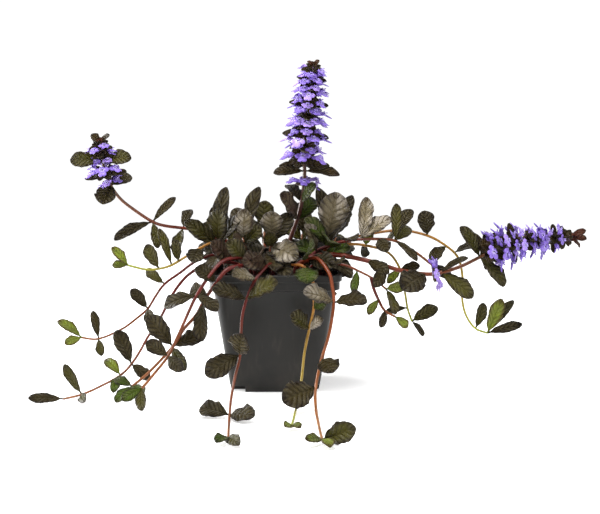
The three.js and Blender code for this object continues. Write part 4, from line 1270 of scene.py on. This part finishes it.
def make_mix():
    """A crumbly top over a tapering block of potting mix."""
    bm = new_bmesh()
    half = BAND_HALF - POT_WALL - MIX_GAP
    top = bmesh.ops.create_grid(bm, x_segments=MIX_CELLS, y_segments=MIX_CELLS, size=half,
                                calc_uvs=True)["verts"]
    for vert in top:
        near, far = sorted((abs(vert.co.x) / half, abs(vert.co.y) / half))
        vert.co.xy *= 1 - CORNER_PULL * (near * far) ** 6
        edge = max(abs(vert.co.x), abs(vert.co.y)) / half
        crumb = noise.noise(vert.co * 0.45) * 1.1 + noise.noise(vert.co * 1.3) * 0.6
        vert.co.z = mix_height(edge) - 0.9 + crumb * (1 - edge ** 8)
    edges = [edge for edge in bm.edges if edge.is_boundary]
    shoulder = MIX_EDGE_HEIGHT - 2
    for reach, height in ((half, MIX_EDGE_HEIGHT - 1), (inside_half(shoulder), shoulder),
                          (inside_half(MIX_FOOT_HEIGHT), MIX_FOOT_HEIGHT)):
        edges = next_ring(bm, edges, reach, height)
    close_foot(bm, edges)
    finish_piece("mix_block", bm, BARK, ["potting_mix"])


def make_bark_chips():
    """Loose chips of bark bedded in the top of the mix."""
    bm = new_bmesh()
    half = BAND_HALF - POT_WALL - BARK_MARGIN
    for _ in range(BARK_CHIPS):
        x, y = detail.near(half), detail.near(half)
        z = mix_height(max(abs(x), abs(y)) / BAND_HALF) + detail.between(-0.9, 0.2)
        size = (*[detail.between(*limits) for limits in BARK_SIZES], 1)
        turn = Matrix.Rotation(detail.between(0, pi), 4, "Z")
        tilt = Matrix.Rotation(detail.near(0.5), 4, "X")
        stand = Matrix.Translation((x, y, z)) @ turn @ tilt @ Matrix.Diagonal(size)
        for vert in bmesh.ops.create_cube(bm, size=1.0, calc_uvs=True, matrix=stand)["verts"]:
            vert.co += Vector([detail.near(0.25) for _ in range(3)])
    finish_piece("bark_chips", bm, BARK, ["potting_mix"], sharp=BARK_EDGE_ANGLE)


# Assembly


def make_shoot(name, node, shoot):
    """Stems and leaves of one leafy shoot. Gives its route and the whorls of its head."""
    route = rooted(shoot["route"])
    stems, blades = new_bmesh(), new_bmesh()
    add_stem(stems, route, shoot["thick"], shoot["stem"])
    leaves = placed_leaves(route, shoot["leaves"])
    if "pairs" in shoot:
        leaves += paired_leaves(route, shoot["pairs"])
    if "branch" in shoot:
        branch = Route(shoot["branch"])
        add_stem(stems, branch, shoot["thick"], shoot["stem"])
        leaves += placed_leaves(branch, shoot["branch_leaves"])
    whorls = []
    if "head" in shoot:
        whorls = whorls_of(shoot["head"], route)
        leaves += [*bracts_of(whorls), *small_bracts_of(whorls), *tip_bracts_of(route, shoot["head"])]
    if name in CROWN_SHOOTS:
        leaves += inner_leaves(route)
    for leaf in leaves:
        add_leaf(blades, leaf)
    bmesh.ops.recalc_face_normals(stems, faces=stems.faces[:])
    finish_piece(f"{name}_stems", stems, STEM_SKIN, [node])
    finish_piece(f"{name}_leaves", blades, LEAF_SKIN, [node], thickness=BLADE_THICKNESS)
    return route, whorls


def make_florets(name, node, whorls):
    """Florets and their calyces. Those of one whorl stand in the gaps of the whorl below."""
    petals, cups = new_bmesh(), new_bmesh()
    for whorl in whorls:
        for number in range(FLORETS_PER_WHORL):
            turns = (number + 0.5 + 0.5 * (whorl.number % 2)) / FLORETS_PER_WHORL
            angle = tau * turns + detail.near(0.12)
            add_floret(petals, whorl, angle, whorl.reach * detail.between(0.86, 1.03))
            add_calyx(cups, whorl, angle, whorl.reach)
    finish_piece(f"{name}_petals", petals, PETAL_SKIN, [node], thickness=PETAL_THICKNESS)
    finish_piece(f"{name}_calyces", cups, LEAF_SKIN, [node], thickness=PETAL_THICKNESS)


def make_tip_buds(name, node, route, head):
    bm = new_bmesh()
    for share, whorl in tip_whorls(route, head, start=0.35, reach=4, taper=2):
        for number in range(TIP_BUDS):
            out = whorl.out(tau * (number + 0.5 * (whorl.number % 2)) / TIP_BUDS, 0.7)
            add_bud(bm, whorl.place + out * whorl.reach * 0.6, out, 1.5 - 0.6 * share)
    finish_piece(f"{name}_buds", bm, LEAF_SKIN, [node])


def make_spike(name, spike):
    route, whorls = make_shoot(name, f"{name}_stem", spike)
    low_at, low_reach = spike["low_whorl"]
    make_florets(name, f"{name}_florets", filled_whorls(spike["head"], route, whorls))
    make_florets(f"{name}_low", f"{name}_low_florets", [whorl_at(route, low_at, low_reach, 0)])
    make_tip_buds(name, f"{name}_stem", route, spike["head"])


# Studio


def add_to_scene(name, data, place, aim):
    """An object that looks from its place along a direction."""
    made = bpy.data.objects.new(name, data)
    made.location = place
    made.rotation_euler = aim.to_track_quat("-Z", "Y").to_euler()
    bpy.context.scene.collection.objects.link(made)
    return made


def make_camera():
    tilt = radians(CAMERA_ELEVATION)
    back = Vector((0, -cos(tilt), sin(tilt)))
    data = bpy.data.cameras.new("camera")
    data.lens = CAMERA_LENS
    place = (CAMERA_TARGET + back * CAMERA_DISTANCE) * METRES
    bpy.context.scene.camera = add_to_scene("camera", data, place, -back)


def add_softbox(name, place, size, power):
    data = bpy.data.lights.new(name, "AREA")
    data.shape = "RECTANGLE"
    data.size, data.size_y = size
    data.energy = power
    light = add_to_scene(name, data, place, LIGHTS_AIM - Vector(place))
    light.visible_camera = False


def make_floor():
    bm = bmesh.new()
    bmesh.ops.create_grid(bm, x_segments=1, y_segments=1, size=FLOOR_HALF)
    floor = loose_object("floor", bm)
    floor.data.materials.append(pale_floor())


def make_air():
    """White air behind the plant and along the horizon, dark overhead, so that leaves keep their colour."""
    world = bpy.data.worlds.new("studio_air")
    world.use_nodes = True
    web = Web(world.node_tree)
    facing = web.parts_of(web.place("Generated"))
    behind = web.ramp(facing[1], 0.2, 0.75, start=AIR_OVERHEAD, end=AIR_BEHIND)
    horizon = web.ramp(facing[2], 0.08, 0.3, start=AIR_BEHIND, end=AIR_OVERHEAD)
    air = world.node_tree.nodes["Background"]
    web.feed(air.inputs["Strength"], web.math("MAXIMUM", behind, horizon))
    air.inputs["Color"].default_value = (1, 1, 1, 1)
    bpy.context.scene.world = world


LEAF_SKIN = leaf_skin()
STEM_SKIN = stem_skin()
PETAL_SKIN = petal_skin()
BARK = bark_mix()

make_camera()
for spike_name, spike_shape in SPIKES.items():
    make_spike(spike_name, spike_shape)
for shoot_name, shoot_shape in RUNNERS.items():
    make_shoot(shoot_name, shoot_name, shoot_shape)
for shoot_name, shoot_shape in CROWN_SHOOTS.items():
    make_shoot(shoot_name, shoot_name, {**CROWN_STEM, **shoot_shape})
make_pot()
make_mix()
make_bark_chips()
make_floor()
make_air()
for softbox in SOFTBOXES:
    add_softbox(*softbox)
bpy.context.scene.view_settings.view_transform = "Standard"
